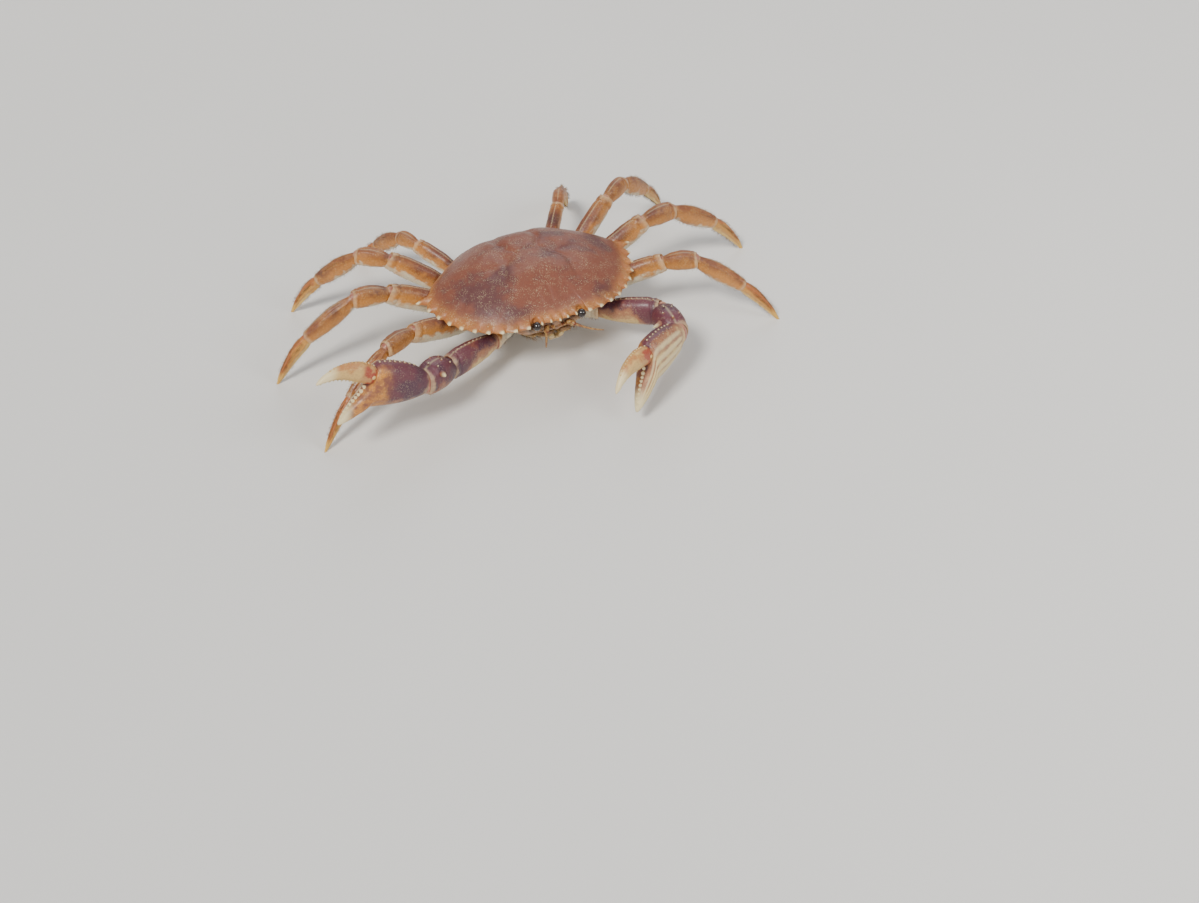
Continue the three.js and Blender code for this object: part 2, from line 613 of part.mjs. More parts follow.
const rooted = (grow) => [
  ...onBothSides((side) => moved(eyeOnStalk(grow), eyePlace(side))),
  ...onBothSides((side) => moved(feelerOf(grow), feelerPlace(side))),
];
const apron = apronPlate();
const apronGrown = apronPlate(GAP);
const mouthGrown = onBothSides((side) => mouthPlate(side, GAP));

const thorax = [...limbRoots, apronGrown, ...mouthGrown, ...rooted(GAP)].reduce(
  (solid, cutter) => solid.subtract(cutter),
  thoraxBlock(),
);
addPiece("thorax", thorax, SHELL.underside, body);

const back = edgeTeeth().reduce((solid, tooth) => solid.add(tooth), backLens());
const carapace = [thoraxBlock(GAP), ...limbRoots, apronGrown, ...mouthGrown, ...rooted(GAP)].reduce(
  (solid, cutter) => solid.subtract(cutter),
  back,
);
addPiece("carapace", carapace, SHELL.back, body);
addPiece("apron", apron, SHELL.apron, body);
onBothSides((side) => {
  const word = side > 0 ? "left" : "right";
  addPiece(`mouth_plate_${word}`, mouthPlate(side), SHELL.mouth, body);
  addPiece(`eye_${word}`, moved(eyeOnStalk(), eyePlace(side)), SHELL.eye, body);
  addPiece(`feeler_${word}`, moved(feelerOf(), feelerPlace(side)), SHELL.feeler, body);
});

// The origin is on the floor, under the middle of the whole crab.
const box = new THREE.Box3().setFromObject(crab, true);
crab.position.set(-(box.min.x + box.max.x) / 2, -(box.min.y + box.max.y) / 2, -box.min.z);

export default crab;
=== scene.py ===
"""The looks of a Dungeness crab that stands on its leg tips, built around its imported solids."""

import math

import bpy
import numpy as np
from bpy.props import FloatProperty, FloatVectorProperty, IntProperty, PointerProperty
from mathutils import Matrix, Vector


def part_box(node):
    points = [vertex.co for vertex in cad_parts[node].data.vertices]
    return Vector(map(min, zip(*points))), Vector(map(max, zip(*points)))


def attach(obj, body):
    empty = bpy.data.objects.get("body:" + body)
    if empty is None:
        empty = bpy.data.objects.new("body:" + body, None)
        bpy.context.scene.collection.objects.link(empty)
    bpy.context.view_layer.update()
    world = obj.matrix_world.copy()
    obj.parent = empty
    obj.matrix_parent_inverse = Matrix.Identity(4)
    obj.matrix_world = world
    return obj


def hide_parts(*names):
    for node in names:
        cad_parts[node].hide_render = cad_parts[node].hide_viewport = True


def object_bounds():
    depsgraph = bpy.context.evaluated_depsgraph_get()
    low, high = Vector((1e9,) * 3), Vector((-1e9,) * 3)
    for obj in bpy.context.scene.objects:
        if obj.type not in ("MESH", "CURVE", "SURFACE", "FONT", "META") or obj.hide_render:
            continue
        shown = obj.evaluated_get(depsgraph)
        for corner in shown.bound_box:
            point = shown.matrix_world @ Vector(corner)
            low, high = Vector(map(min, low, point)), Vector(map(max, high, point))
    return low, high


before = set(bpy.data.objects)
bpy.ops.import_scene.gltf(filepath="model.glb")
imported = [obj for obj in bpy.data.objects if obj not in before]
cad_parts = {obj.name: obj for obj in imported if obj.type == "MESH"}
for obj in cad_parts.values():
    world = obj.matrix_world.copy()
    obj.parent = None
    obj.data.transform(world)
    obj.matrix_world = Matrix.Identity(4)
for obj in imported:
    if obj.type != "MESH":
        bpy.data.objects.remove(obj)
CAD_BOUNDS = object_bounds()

bl_info = {
    "name": "Dungeness Crab",
    "version": (1, 0, 0),
    "blender": (4, 5, 0),
    "location": "View3D > Sidebar > Crab",
    "description": "Builds a life-size Dungeness crab, its shell plates, limbs, bristles and stage",
    "category": "Add Mesh",
}

MM = 0.001
TAU = 2 * math.pi
TINY = 1e-6
SIDES = {-1: "right", 1: "left"}

# Driving dimensions, in millimetres, the same as the solids
CARAPACE_WIDTH = 165.0
CARAPACE_LENGTH = 0.66 * CARAPACE_WIDTH
DOME_HEIGHT = 0.148 * CARAPACE_WIDTH
MARGIN_HEIGHT = 0.31 * CARAPACE_WIDTH
HIP_DROP = 0.13 * CARAPACE_WIDTH
LEG_LENGTH = 1.04 * CARAPACE_WIDTH
CLAW_LENGTH = 0.445 * CARAPACE_WIDTH
FOOT_SINK = 0.9

FRONT_Y = -0.575 * CARAPACE_LENGTH
REAR_Y = CARAPACE_LENGTH + FRONT_Y
MARGIN_HALF = 0.475 * CARAPACE_WIDTH
FRONT_HALF = 0.135 * CARAPACE_WIDTH
REAR_HALF = 0.215 * CARAPACE_WIDTH
BELLY_DROP = 0.135 * CARAPACE_WIDTH
DOME_Y = -4.0  # where the middle of the dome lies, before the last side teeth
RIM_DROP = 1.2  # from the upper edge of the rim to the lower
FRONT_RISE = 4.5  # of the edge at the brow, over the plane of the last side teeth
REAR_FALL = 5  # and its fall at the rear
SIDE_TEETH = 10

PALM_HEIGHT = 0.45 * CLAW_LENGTH
PALM_THICKNESS = 0.27 * CLAW_LENGTH
FINGER_LENGTH = 0.55 * CLAW_LENGTH
FINGER_HEIGHT = 0.2 * CLAW_LENGTH
FINGER_THICKNESS = 0.165 * CLAW_LENGTH
SPIKE_POINT = 0.04  # half width of a spine's very tip


def body_origin():
    """The place of the body's own origin in the frame, in millimetres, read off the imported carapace."""
    low, high = (np.array(corner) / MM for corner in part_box("carapace"))
    return np.array([(low[0] + high[0]) / 2, high[1] - REAR_Y, MARGIN_HEIGHT])


BODY = body_origin()

# Forms of the limb segments: rows of share of length, height, thickness and lift, as in the solids
HIP = [
    (-0.26, 0.5, 0.55, 0), (-0.08, 0.94, 0.98, 0), (0.26, 0.98, 1, 0.02), (0.42, 0.8, 0.8, 0.02),
    (0.56, 0.9, 0.86, 0.02), (1.03, 0.92, 0.84, 0.04),
]
MERUS = [
    (-0.1, 0.3, 0.35, 0), (-0.045, 0.52, 0.6, 0), (0.04, 0.63, 0.7, 0), (0.2, 0.82, 0.86, 0.05),
    (0.45, 0.98, 1, 0.08), (0.72, 0.99, 0.99, 0.06), (0.94, 0.9, 0.92, 0.02), (1.03, 0.82, 0.84, 0),
]
CARPUS = [
    (-0.16, 0.35, 0.4, 0), (-0.07, 0.58, 0.64, 0), (0.07, 0.68, 0.7, 0), (0.28, 0.86, 0.88, 0.06),
    (0.6, 1, 1, 0.1), (0.92, 0.94, 0.96, 0.04), (1.05, 0.82, 0.84, 0),
]
PROPODUS = [
    (-0.1, 0.35, 0.4, 0), (-0.045, 0.56, 0.62, 0), (0.06, 0.66, 0.72, 0), (0.22, 0.87, 0.9, 0.04),
    (0.46, 1, 1, 0.04), (0.74, 0.91, 0.94, 0), (1.03, 0.68, 0.76, -0.02),
]
DACTYL = [
    (-0.09, 0.4, 0.5, 0), (-0.035, 0.68, 0.76, 0), (0.06, 0.94, 1, 0.04), (0.22, 1, 0.94, 0.22),
    (0.45, 0.82, 0.76, 0.34), (0.68, 0.6, 0.56, 0.28), (0.86, 0.4, 0.4, 0.12), (1, 0.17, 0.2, -0.1),
]
PADDLE = [
    (-0.09, 0.3, 0.5, 0), (-0.035, 0.52, 0.76, 0), (0.06, 0.74, 1, 0.04), (0.26, 0.98, 0.94, 0.12),
    (0.5, 0.94, 0.76, 0.16), (0.72, 0.68, 0.58, 0.14), (0.88, 0.42, 0.4, 0.06), (1, 0.16, 0.2, -0.06),
]
CLAW_MERUS = [
    (-0.12, 0.3, 0.34, 0), (-0.05, 0.5, 0.56, 0), (0.04, 0.6, 0.64, 0), (0.2, 0.76, 0.8, 0),
    (0.5, 0.94, 0.95, 0.04), (0.8, 1, 1, 0.04), (0.95, 0.96, 0.96, 0), (1.03, 0.86, 0.86, 0),
]
CLAW_CARPUS = [
    (-0.16, 0.34, 0.4, 0), (-0.06, 0.56, 0.62, 0), (0.06, 0.66, 0.74, 0.02), (0.24, 0.86, 0.92, 0.06),
    (0.52, 1, 1, 0.1), (0.8, 0.98, 0.98, 0.06), (0.96, 0.88, 0.88, 0), (1.06, 0.74, 0.78, 0),
]
PALM = [
    (-0.06, 0.3, 0.48, 0), (-0.02, 0.47, 0.66, 0), (0.05, 0.61, 0.8, 0.02), (0.18, 0.82, 0.94, 0.05),
    (0.36, 0.96, 1, 0.08), (0.5, 1, 0.96, 0.08), (0.57, 0.92, 0.88, -0.02), (0.61, 0.64, 0.78, -0.42),
    (0.66, 0.5, 0.66, -0.74), (0.72, 0.42, 0.54, -1.02), (0.78, 0.31, 0.4, -1.31), (0.82, 0.2, 0.26, -1.53),
    (0.845, 0.08, 0.12, -1.68),
]
FINGER = [
    (-0.12, 0.4, 0.5, 0), (-0.04, 0.76, 0.86, 0), (0.07, 0.98, 1, 0.04), (0.25, 1, 0.94, 0.24),
    (0.46, 0.86, 0.8, 0.3), (0.66, 0.68, 0.64, 0.12), (0.84, 0.48, 0.44, -0.34), (0.95, 0.28, 0.28, -0.8),
    (1, 0.12, 0.12, -1.05),
]


# Shape helpers


def hermite(knots, values, slope, x):
    """The cubic curve with these values and slopes at its knots, read at x."""
    step = np.diff(knots)
    i = np.clip(np.searchsorted(knots, x, "right") - 1, 0, len(step) - 1)
    t = (x - knots[i]) / step[i]
    near = (1 + 2 * t) * (1 - t) ** 2 * values[i] + t * (1 - t) ** 2 * step[i] * slope[i]
    return near + t * t * (3 - 2 * t) * values[i + 1] + t * t * (t - 1) * step[i] * slope[i + 1]


def smooth_curve(knots, values, x):
    """A rounded curve through values at knots, read at x."""
    return hermite(knots, values, np.gradient(values, knots), x)


def smooth(xs, ys, x):
    """A monotone cubic through stations (xs, ys), read at x: it never swings past a station."""
    xs = np.asarray(xs, float)
    ys = np.asarray(ys, float)
    step = np.diff(xs)
    rise = np.diff(ys) / step
    before, after = rise[:-1], rise[1:]
    same = before * after > 0
    w1 = 2 * step[1:] + step[:-1]
    w2 = step[1:] + 2 * step[:-1]
    harmonic = (w1 + w2) / (w1 / np.where(same, before, 1) + w2 / np.where(same, after, 1))
    return hermite(xs, ys, np.concatenate([[rise[0]], np.where(same, harmonic, 0), [rise[-1]]]), x)


def sizes_at(table, x):
    """Half height, half thickness and lift, at x, of a form whose rows are (x, height, thickness, lift)."""
    return tuple(smooth(table[:, 0], table[:, k], x) for k in (1, 2, 3))


def box_reach(c, s, fullness):
    """How far a soft-cornered square reaches along the cosine and sine of an angle: a fullness of 2
    gives a circle, and more gives fuller corners."""
    return (np.abs(c) ** fullness + np.abs(s) ** fullness) ** (-1 / fullness)


def unit(ways):
    """Directions brought to length one."""
    return ways / np.maximum(np.linalg.norm(ways, axis=-1, keepdims=True), TINY)


def bump(distance, width):
    """1 at distance 0, falling softly to nothing over about twice the width."""
    return np.exp(-((distance / width) ** 2))


def ease(low, high, x):
    """0 below low, 1 above high, with a soft step between."""
    t = np.clip((x - low) / (high - low), 0, 1)
    return t * t * (3 - 2 * t)


def turned(angle):
    """An angle brought into -pi to pi."""
    return (angle + math.pi) % TAU - math.pi


def grain(points, size, seed=1):
    """Soft lattice noise from -1 to 1 at points, in lumps about one size across."""
    place = points / size + 57.3 * seed + 400
    cell = np.floor(place).astype(np.int64)
    part = place - cell
    part = part * part * (3 - 2 * part)
    total = np.zeros(points.shape[:-1])
    for corner in np.ndindex(2, 2, 2):
        c = cell + corner
        mixed = (c[..., 0] * 73856093) ^ (c[..., 1] * 19349663) ^ (c[..., 2] * 83492791)
        mixed = ((mixed ^ (mixed >> 13)) * 1274126177) & 0xFFFFFFFF
        value = ((mixed ^ (mixed >> 16)) & 0xFFFF) / 32767.5 - 1
        total += value * np.prod(np.where(corner, part, 1 - part), axis=-1)
    return total


def new_piece(name, points, polygons, material, replaced=()):
    """Makes a piece from points in millimetres and arrays of polygons, rides it on the crab and hides
    the solids that it stands for."""
    corners = np.concatenate([p.ravel() for p in polygons])
    sizes = np.concatenate([np.full(len(p), p.shape[1]) for p in polygons])
    mesh = bpy.data.meshes.new(name)
    mesh.vertices.add(len(points))
    mesh.vertices.foreach_set("co", (points * MM).ravel())
    mesh.loops.add(len(corners))
    mesh.loops.foreach_set("vertex_index", corners.astype(np.int32))
    mesh.polygons.add(len(sizes))
    mesh.polygons.foreach_set("loop_start", (np.cumsum(sizes) - sizes).astype(np.int32))
    mesh.update(calc_edges=True)
    mesh.validate()
    mesh.shade_smooth()
    mesh.materials.append(material)
    piece = bpy.data.objects.new(name, mesh)
    bpy.context.scene.collection.objects.link(piece)
    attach(piece, "root")
    if replaced:
        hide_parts(*replaced)
    return piece


class Skin:
    """Gathers closed tubes of points into one mesh, each point with a few named values for its material."""

    # How far along a piece, which way it faces (with painted shade added in grooves), how worn, how near a
    # raised line and how amber or red
    MARKS = ("along", "back", "tip", "ridge", "warm")

    def __init__(self):
        self.points, self.quads, self.fans = [], [], []
        self.marks = {name: [] for name in self.MARKS}
        self.count = 0

    def tube(self, rings, turn=None, origin=None, **marks):
        """Adds rings, an array (rings, sides, 3) in millimetres, closed round and at both ends."""
        n, m = rings.shape[:2]
        ends = [rings[0].mean(0), rings[-1].mean(0)]
        points = np.concatenate([rings.reshape(-1, 3), ends])
        if turn is not None:
            points = points @ np.asarray(turn).T
        if origin is not None:
            points = points + origin
        ring, side = np.meshgrid(np.arange(n - 1), np.arange(m), indexing="ij")
        a = ring * m + side
        b = ring * m + (side + 1) % m
        self.quads.append(np.stack([a, b, b + m, a + m], -1).reshape(-1, 4) + self.count)
        side = np.arange(m)
        beside = (side + 1) % m
        last_ring = (n - 1) * m
        first = np.stack([np.full(m, n * m), beside, side], -1)
        last = np.stack([np.full(m, n * m + 1), last_ring + side, last_ring + beside], -1)
        self.fans.append(np.concatenate([first, last]) + self.count)
        for name in self.MARKS:
            value = np.broadcast_to(marks.get(name, 0.0), (n, m))
            self.marks[name].append(np.concatenate([value.reshape(-1), [value[0].mean(), value[-1].mean()]]))
        self.points.append(points)
        self.count += len(points)

    def spike(
        self, root, direction, radius, height, turn=None, origin=None, flat=1.0, across=(0, 1, 0),
        sides=8, rows=5, mark=1.0, bend=0.0, back=0.3, white=0.0,
    ):
        """Adds a tapering spine from a little below its root, flattened across one way. White is how
        pale it is from its root up, and mark how pale its tip is."""
        z = unit(np.asarray(direction, float))
        x = unit(np.cross(across, z))
        y = np.cross(z, x)
        sunk = 0.35
        t = np.linspace(-sunk, 1, rows)
        wide = radius * np.clip((1 - t) / (1 + sunk), 0, 1) ** 0.75 + SPIKE_POINT
        angle = np.arange(sides) / sides * TAU
        ring = wide[:, None, None] * (np.cos(angle)[:, None] * x + flat * np.sin(angle)[:, None] * y)
        middle = np.asarray(root) + (t * height)[:, None] * z + bend * (np.clip(t, 0, 1) ** 2)[:, None] * x
        tip = np.maximum(mark * np.clip(t, 0, 1), white)[:, None]
        self.tube(ring + middle[:, None], turn, origin, tip=tip, along=0.5, back=back, ridge=tip)

    def knob(self, root, direction, radius, height, turn=None, origin=None):
        """Adds a low round knob."""
        z = unit(np.asarray(direction, float))
        x = unit(np.cross([1.0, 0.2, 0.1], z))
        t = np.linspace(-0.4, 0.98, 9) * math.pi / 2
        angle = np.arange(20) / 20 * TAU
        ring = np.cos(angle)[:, None] * x + np.sin(angle)[:, None] * np.cross(z, x)
        dome = radius * np.cos(t)[:, None, None] * ring + height * np.sin(t)[:, None, None] * z
        self.tube(dome + np.asarray(root), turn, origin, tip=0.4, along=0.5)

    def build(self, name, slot, material, replaced=()):
        """Makes the piece, with its marks as attributes of its points."""
        polygons = [np.concatenate(self.quads), np.concatenate(self.fans)]
        piece = new_piece(name, np.concatenate(self.points), polygons, material, replaced)
        for mark, values in self.marks.items():
            attribute = piece.data.attributes.new(mark, "FLOAT", "POINT")
            attribute.data.foreach_set("value", np.concatenate(values).astype(np.float32))
        return piece


def rings_of(stations, count, sides, fullness=2.3, relief=None, crowd=0.0, length=None):
    """Rings of a bar along X through stations (x, half height, half thickness, lift). relief(share,
    angle) raises the skin, where share is of the length, or of the last station's x. Angle 0 is +Y and a
    quarter turn is +Z. Crowd draws rings to the ends."""
    table = np.array(stations, float)
    t = np.linspace(0, 1, count)
    t = (1 - crowd) * t + crowd * (1 - np.cos(math.pi * t)) / 2
    x = table[0, 0] + (table[-1, 0] - table[0, 0]) * t
    high, wide, lift = (values[:, None] for values in sizes_at(table, x))
    angle = (np.arange(sides) / sides * TAU)[None]
    c, s = np.cos(angle), np.sin(angle)
    reach = box_reach(c, s, fullness)
    y = c * reach * wide
    z = s * reach * high
    if relief is not None:
        share = (x / (length or table[-1, 0]))[:, None] + 0 * angle
        raised = relief(share, turned(angle + 0 * share))
        out_y = c * reach / wide
        out_z = s * reach / high
        size = np.hypot(out_y, out_z)
        y = y + raised * out_y / size
        z = z + raised * out_z / size
    return np.stack([x[:, None] + 0 * y, y, z + lift], -1), np.broadcast_to(angle, y.shape)


def ways_out(rings):
    """The way out of the skin at each point, from the middle of its ring."""
    middle = np.zeros_like(rings)
    middle[..., 0] = rings[..., 0]
    middle[..., 2] = rings[..., 2].mean(1, keepdims=True)
    return unit(rings - middle)


def heading(side, azimuth, elevation, roll=0.0):
    """The turn whose columns are along, across and up for a heading. Azimuth is forward of sideways."""
    a, e, r = math.radians(azimuth), math.radians(elevation), math.radians(side * roll)
    along = np.array([side * math.cos(a) * math.cos(e), -math.sin(a) * math.cos(e), math.sin(e)])
    across = np.cross([0, 0, 1], along)
    across /= np.linalg.norm(across)
    up = np.cross(along, across)
    c, s = math.cos(r), math.sin(r)
    return np.stack([along, across * c + up * s, up * c - across * s], 1)


def turn_about_across(degrees):
    """The turn about the local Y axis."""
    c, s = math.cos(math.radians(degrees)), math.sin(math.radians(degrees))
    return np.array([[c, 0, s], [0, 1, 0], [-s, 0, c]])


def turn_about_up(radians):
    """The turn about the local Z axis."""
    c, s = math.cos(radians), math.sin(radians)
    return np.array([[c, -s, 0], [s, c, 0], [0, 0, 1]])


# The skeleton: where each limb segment sits, worked out as in the solids


class Segment:
    """One piece of a limb: its name, form, size, turn and root in the frame."""

    def __init__(self, name, joint, side, form, length, height, thickness, turn, origin, fullness=2.3):
        self.name, self.joint, self.side, self.form = name, joint, side, form
        self.length, self.height, self.thickness = length, height, thickness
        self.turn, self.origin, self.fullness = turn, origin, fullness
        self.on_claw = name.startswith("claw")
        self.outer = 0.0 if side > 0 else math.pi  # the angle round it that faces away from the body
        self.socketed = joint not in ("dactyl", "finger", "palm")

    def stations(self, fatter=0.0):
        half_high, half_wide = self.height / 2, self.thickness / 2
        return [
            (x * self.length, h * half_high + fatter, t * half_wide + fatter, lift * half_high)
            for x, h, t, lift in self.form
        ]

    def local_skin(self, share, angle, out=0.0):
        """Points on the skin at shares of the length and angles round it, with the way out of it, in
        the segment's own frame. Out moves them off the skin."""
        x = share * self.length
        high, wide, lift = sizes_at(np.array(self.stations()), x)
        c, s = np.cos(angle), np.sin(angle)
        reach = box_reach(c, s, self.fullness)
        way = unit(np.stack([0 * x, c * reach / wide, s * reach / high], -1))
        return np.stack([x, c * reach * wide, s * reach * high + lift], -1) + out * way, way

    def skin(self, share, angle, out=0.0):
        """The same in the frame of the whole crab."""
        place, way = self.local_skin(share, angle, out)
        return place @ self.turn.T + self.origin, way @ self.turn.T

    def spot(self, share, angle):
        """One point on the skin and the way out of it, in the segment's own frame."""
        place, way = self.local_skin(np.array([share]), np.array([angle]))
        return place[0], way[0]

    def place(self, x, y, z):
        return self.origin + self.turn @ np.array([x, y, z])


LEG_SHARES = (0.32, 0.152, 0.258, 0.27)  # of a leg's length: merus, carpus, propodus and dactyl
HIP_LENGTH = 0.135 * CARAPACE_WIDTH
LEGS = [
    {"at": (30.5, -10), "azimuth": (12, 19, 24, 27, 29), "size": 0.95, "bend": (18, 52, 68), "hip": 6},
    {"at": (31, 4), "azimuth": (-5, -8, -8, -5, -3), "size": 1, "bend": (24, 62, 79), "hip": 8},
    {"at": (28.5, 17), "azimuth": (-24, -31, -35, -34, -32), "size": 0.93, "bend": (26, 66, 82), "hip": 9},
    {"at": (23, 28.5), "azimuth": (-44, -57, -64, -62, -60), "size": 0.7, "bend": (22, 56, 72), "hip": 9},
]
CLAW_POSES = {
    "right": [(40, 2, 0), (25, 8, 0), (30, 14, -4), (5, 20, -8), (5, 20, -8)],
    "left": [(40, 2, 0), (38, 8, 0), (90, 3, 4), (147, 3, 10), (147, 3, 10)],
}
CLAW_OPEN = {"right": 4, "left": 1}
SWING_SPREAD = 3  # most degrees that a leg swings from its row of the table
BEND_SPREAD = 2.5  # and most that a joint of it bends from its own


class Wander:
    """The same small steady differences between the legs as in the solids."""

    FACTOR = 16807
    LIMIT = 2147483647

    def __init__(self):
        self.seed = 7

    def __call__(self, most):
        self.seed = self.seed * self.FACTOR % self.LIMIT
        return most * (2 * self.seed / self.LIMIT - 1)


def meet_floor(start, lengths, bend):
    """The rise of the merus that brings the leg's tip just into the floor, found by halving."""
    low, high = -20.0, 80.0
    for _ in range(40):
        middle = (low + high) / 2
        rises = [middle] + [middle - fall for fall in bend]
        tip = start + sum(l * math.sin(math.radians(r)) for l, r in zip(lengths, rises))
        if tip > -FOOT_SINK:
            high = middle
        else:
            low = middle
    return low


def walking_leg(side, number, wander):
    """The five segments of a walking leg."""
    leg = LEGS[number]
    last = number == len(LEGS) - 1
    swing = wander(SWING_SPREAD)
    lengths = [share * LEG_LENGTH * leg["size"] for share in LEG_SHARES]
    bends = [fall + wander(BEND_SPREAD) for fall in leg["bend"]]
    hip_length = HIP_LENGTH * (0.86 if last else 1)
    start = MARGIN_HEIGHT - HIP_DROP + hip_length * math.sin(math.radians(leg["hip"]))
    rise = meet_floor(start, lengths, bends)
    rises = [leg["hip"], rise] + [rise - fall for fall in bends]
    girth = 0.8 if last else leg["size"]
    rows = [
        ("hip", HIP, hip_length, 14.6, 12.8),
        ("merus", MERUS, lengths[0], 18.6, 13.6),
        ("carpus", CARPUS, lengths[1], 16.2, 12.6),
        ("propodus", PROPODUS, lengths[2], 16.4 if last else 15.4, 10),
        ("dactyl", PADDLE if last else DACTYL, lengths[3], 12.4 if last else 9.8, 7.4),
    ]
    place = BODY + np.array([side * leg["at"][0], leg["at"][1], -HIP_DROP])
    made = []
    for i, (joint, form, length, height, thickness) in enumerate(rows):
        turn = heading(side, leg["azimuth"][i] + (swing if i else swing / 3), rises[i])
        name = f"leg_{number + 1}_{SIDES[side]}_{joint}"
        made.append(Segment(name, joint, side, form, length, height * girth, thickness * girth, turn, place))
        place = made[-1].place(length, 0, 0)
    return made


def claw_arm(side):
    """The five segments of a claw arm."""
    word = SIDES[side]
    rows = [
        ("hip", HIP, 0.125 * CARAPACE_WIDTH, 17, 15, 2.3),
        ("merus", CLAW_MERUS, 0.28 * CARAPACE_WIDTH, 22, 16, 2.3),
        ("carpus", CLAW_CARPUS, 0.17 * CARAPACE_WIDTH, 24, 21, 2.3),
        ("palm", PALM, CLAW_LENGTH, PALM_HEIGHT, PALM_THICKNESS, 2.4),
        ("finger", FINGER, FINGER_LENGTH, FINGER_HEIGHT, FINGER_THICKNESS, 2.3),
    ]
    place = BODY + np.array([side * 26.5, -25.5, -HIP_DROP + 0.5])
    made = []
    for (joint, form, length, height, thickness, fullness), pose in zip(rows, CLAW_POSES[word]):
        turn = heading(side, *pose)
        name = f"claw_{word}_{joint}"
        if joint == "finger":
            place = made[-1].place(0.585 * CLAW_LENGTH, 0, 0.27 * PALM_HEIGHT)
            turn = turn @ turn_about_across(-CLAW_OPEN[word])
        made.append(Segment(name, joint, side, form, length, height, thickness, turn, place, fullness))
        place = made[-1].place(length, 0, 0)
    return made


def all_limbs():
    """Every limb as a list of segments, in the order of the solids."""
    wander = Wander()
    limbs = []
    for side in SIDES:
        limbs.append(claw_arm(side))
        limbs.extend(walking_leg(side, number, wander) for number in range(len(LEGS)))
    return limbs


LIMBS = all_limbs()
CLAW_ARMS = [limb for limb in LIMBS if limb[0].name.startswith("claw")]
WALKING_LEGS = [limb for limb in LIMBS if limb[0].name.startswith("leg")]


# Materials


def linear(code):
    """The linear colour of an sRGB hex code."""
    parts = [int(code[i : i + 2], 16) / 255 for i in (1, 3, 5)]
    return tuple(c / 12.92 if c <= 0.04045 else ((c + 0.055) / 1.055) ** 2.4 for c in parts)


def add(tree, kind, inputs=None, **settings):
    """Adds a shader node with its settings, values and links."""
    node = tree.nodes.new("ShaderNode" + kind)
    for name, value in settings.items():
        setattr(node, name, value)
    for key, value in (inputs or {}).items():
        if isinstance(value, bpy.types.NodeSocket):
            tree.links.new(value, node.inputs[key])
        else:
            node.inputs[key].default_value = value
    return node


def rgba(colour):
    return (*colour[:3], 1.0)


def new_material(name, **principled):
    """An empty node material and its shader."""
    material = bpy.data.materials.new(name)
    material.use_nodes = True
    tree = material.node_tree
    shader = tree.nodes["Principled BSDF"]
    for key, value in principled.items():
        shader.inputs[key.replace("_", " ")].default_value = value
    return material, tree, shader


def mix(tree, factor, first, second):
    """The colour between two, by a factor."""
    return add(tree, "Mix", {0: factor, 6: first, 7: second}, data_type="RGBA").outputs[2]


def remap(tree, value, low, high, to_low=0.0, to_high=1.0):
    """A value brought from one range to another with a soft step."""
    values = {0: value, 1: low, 2: high, 3: to_low, 4: to_high}
    return add(tree, "MapRange", values, interpolation_type="SMOOTHSTEP").outputs[0]


def noise(tree, place, size, detail=4.0, roughness=0.6):
    """Noise with lumps of a real size in millimetres."""
    values = {"Vector": place, "Scale": 1 / (size * MM), "Detail": detail, "Roughness": roughness}
    return add(tree, "TexNoise", values).outputs[0]


def scaled_sum(tree, value, factor, more):
    """value times factor plus more."""
    return add(tree, "Math", {0: value, 1: factor, 2: more}, operation="MULTIPLY_ADD").outputs[0]


def product(tree, first, second):
    return add(tree, "Math", {0: first, 1: second}, operation="MULTIPLY").outputs[0]


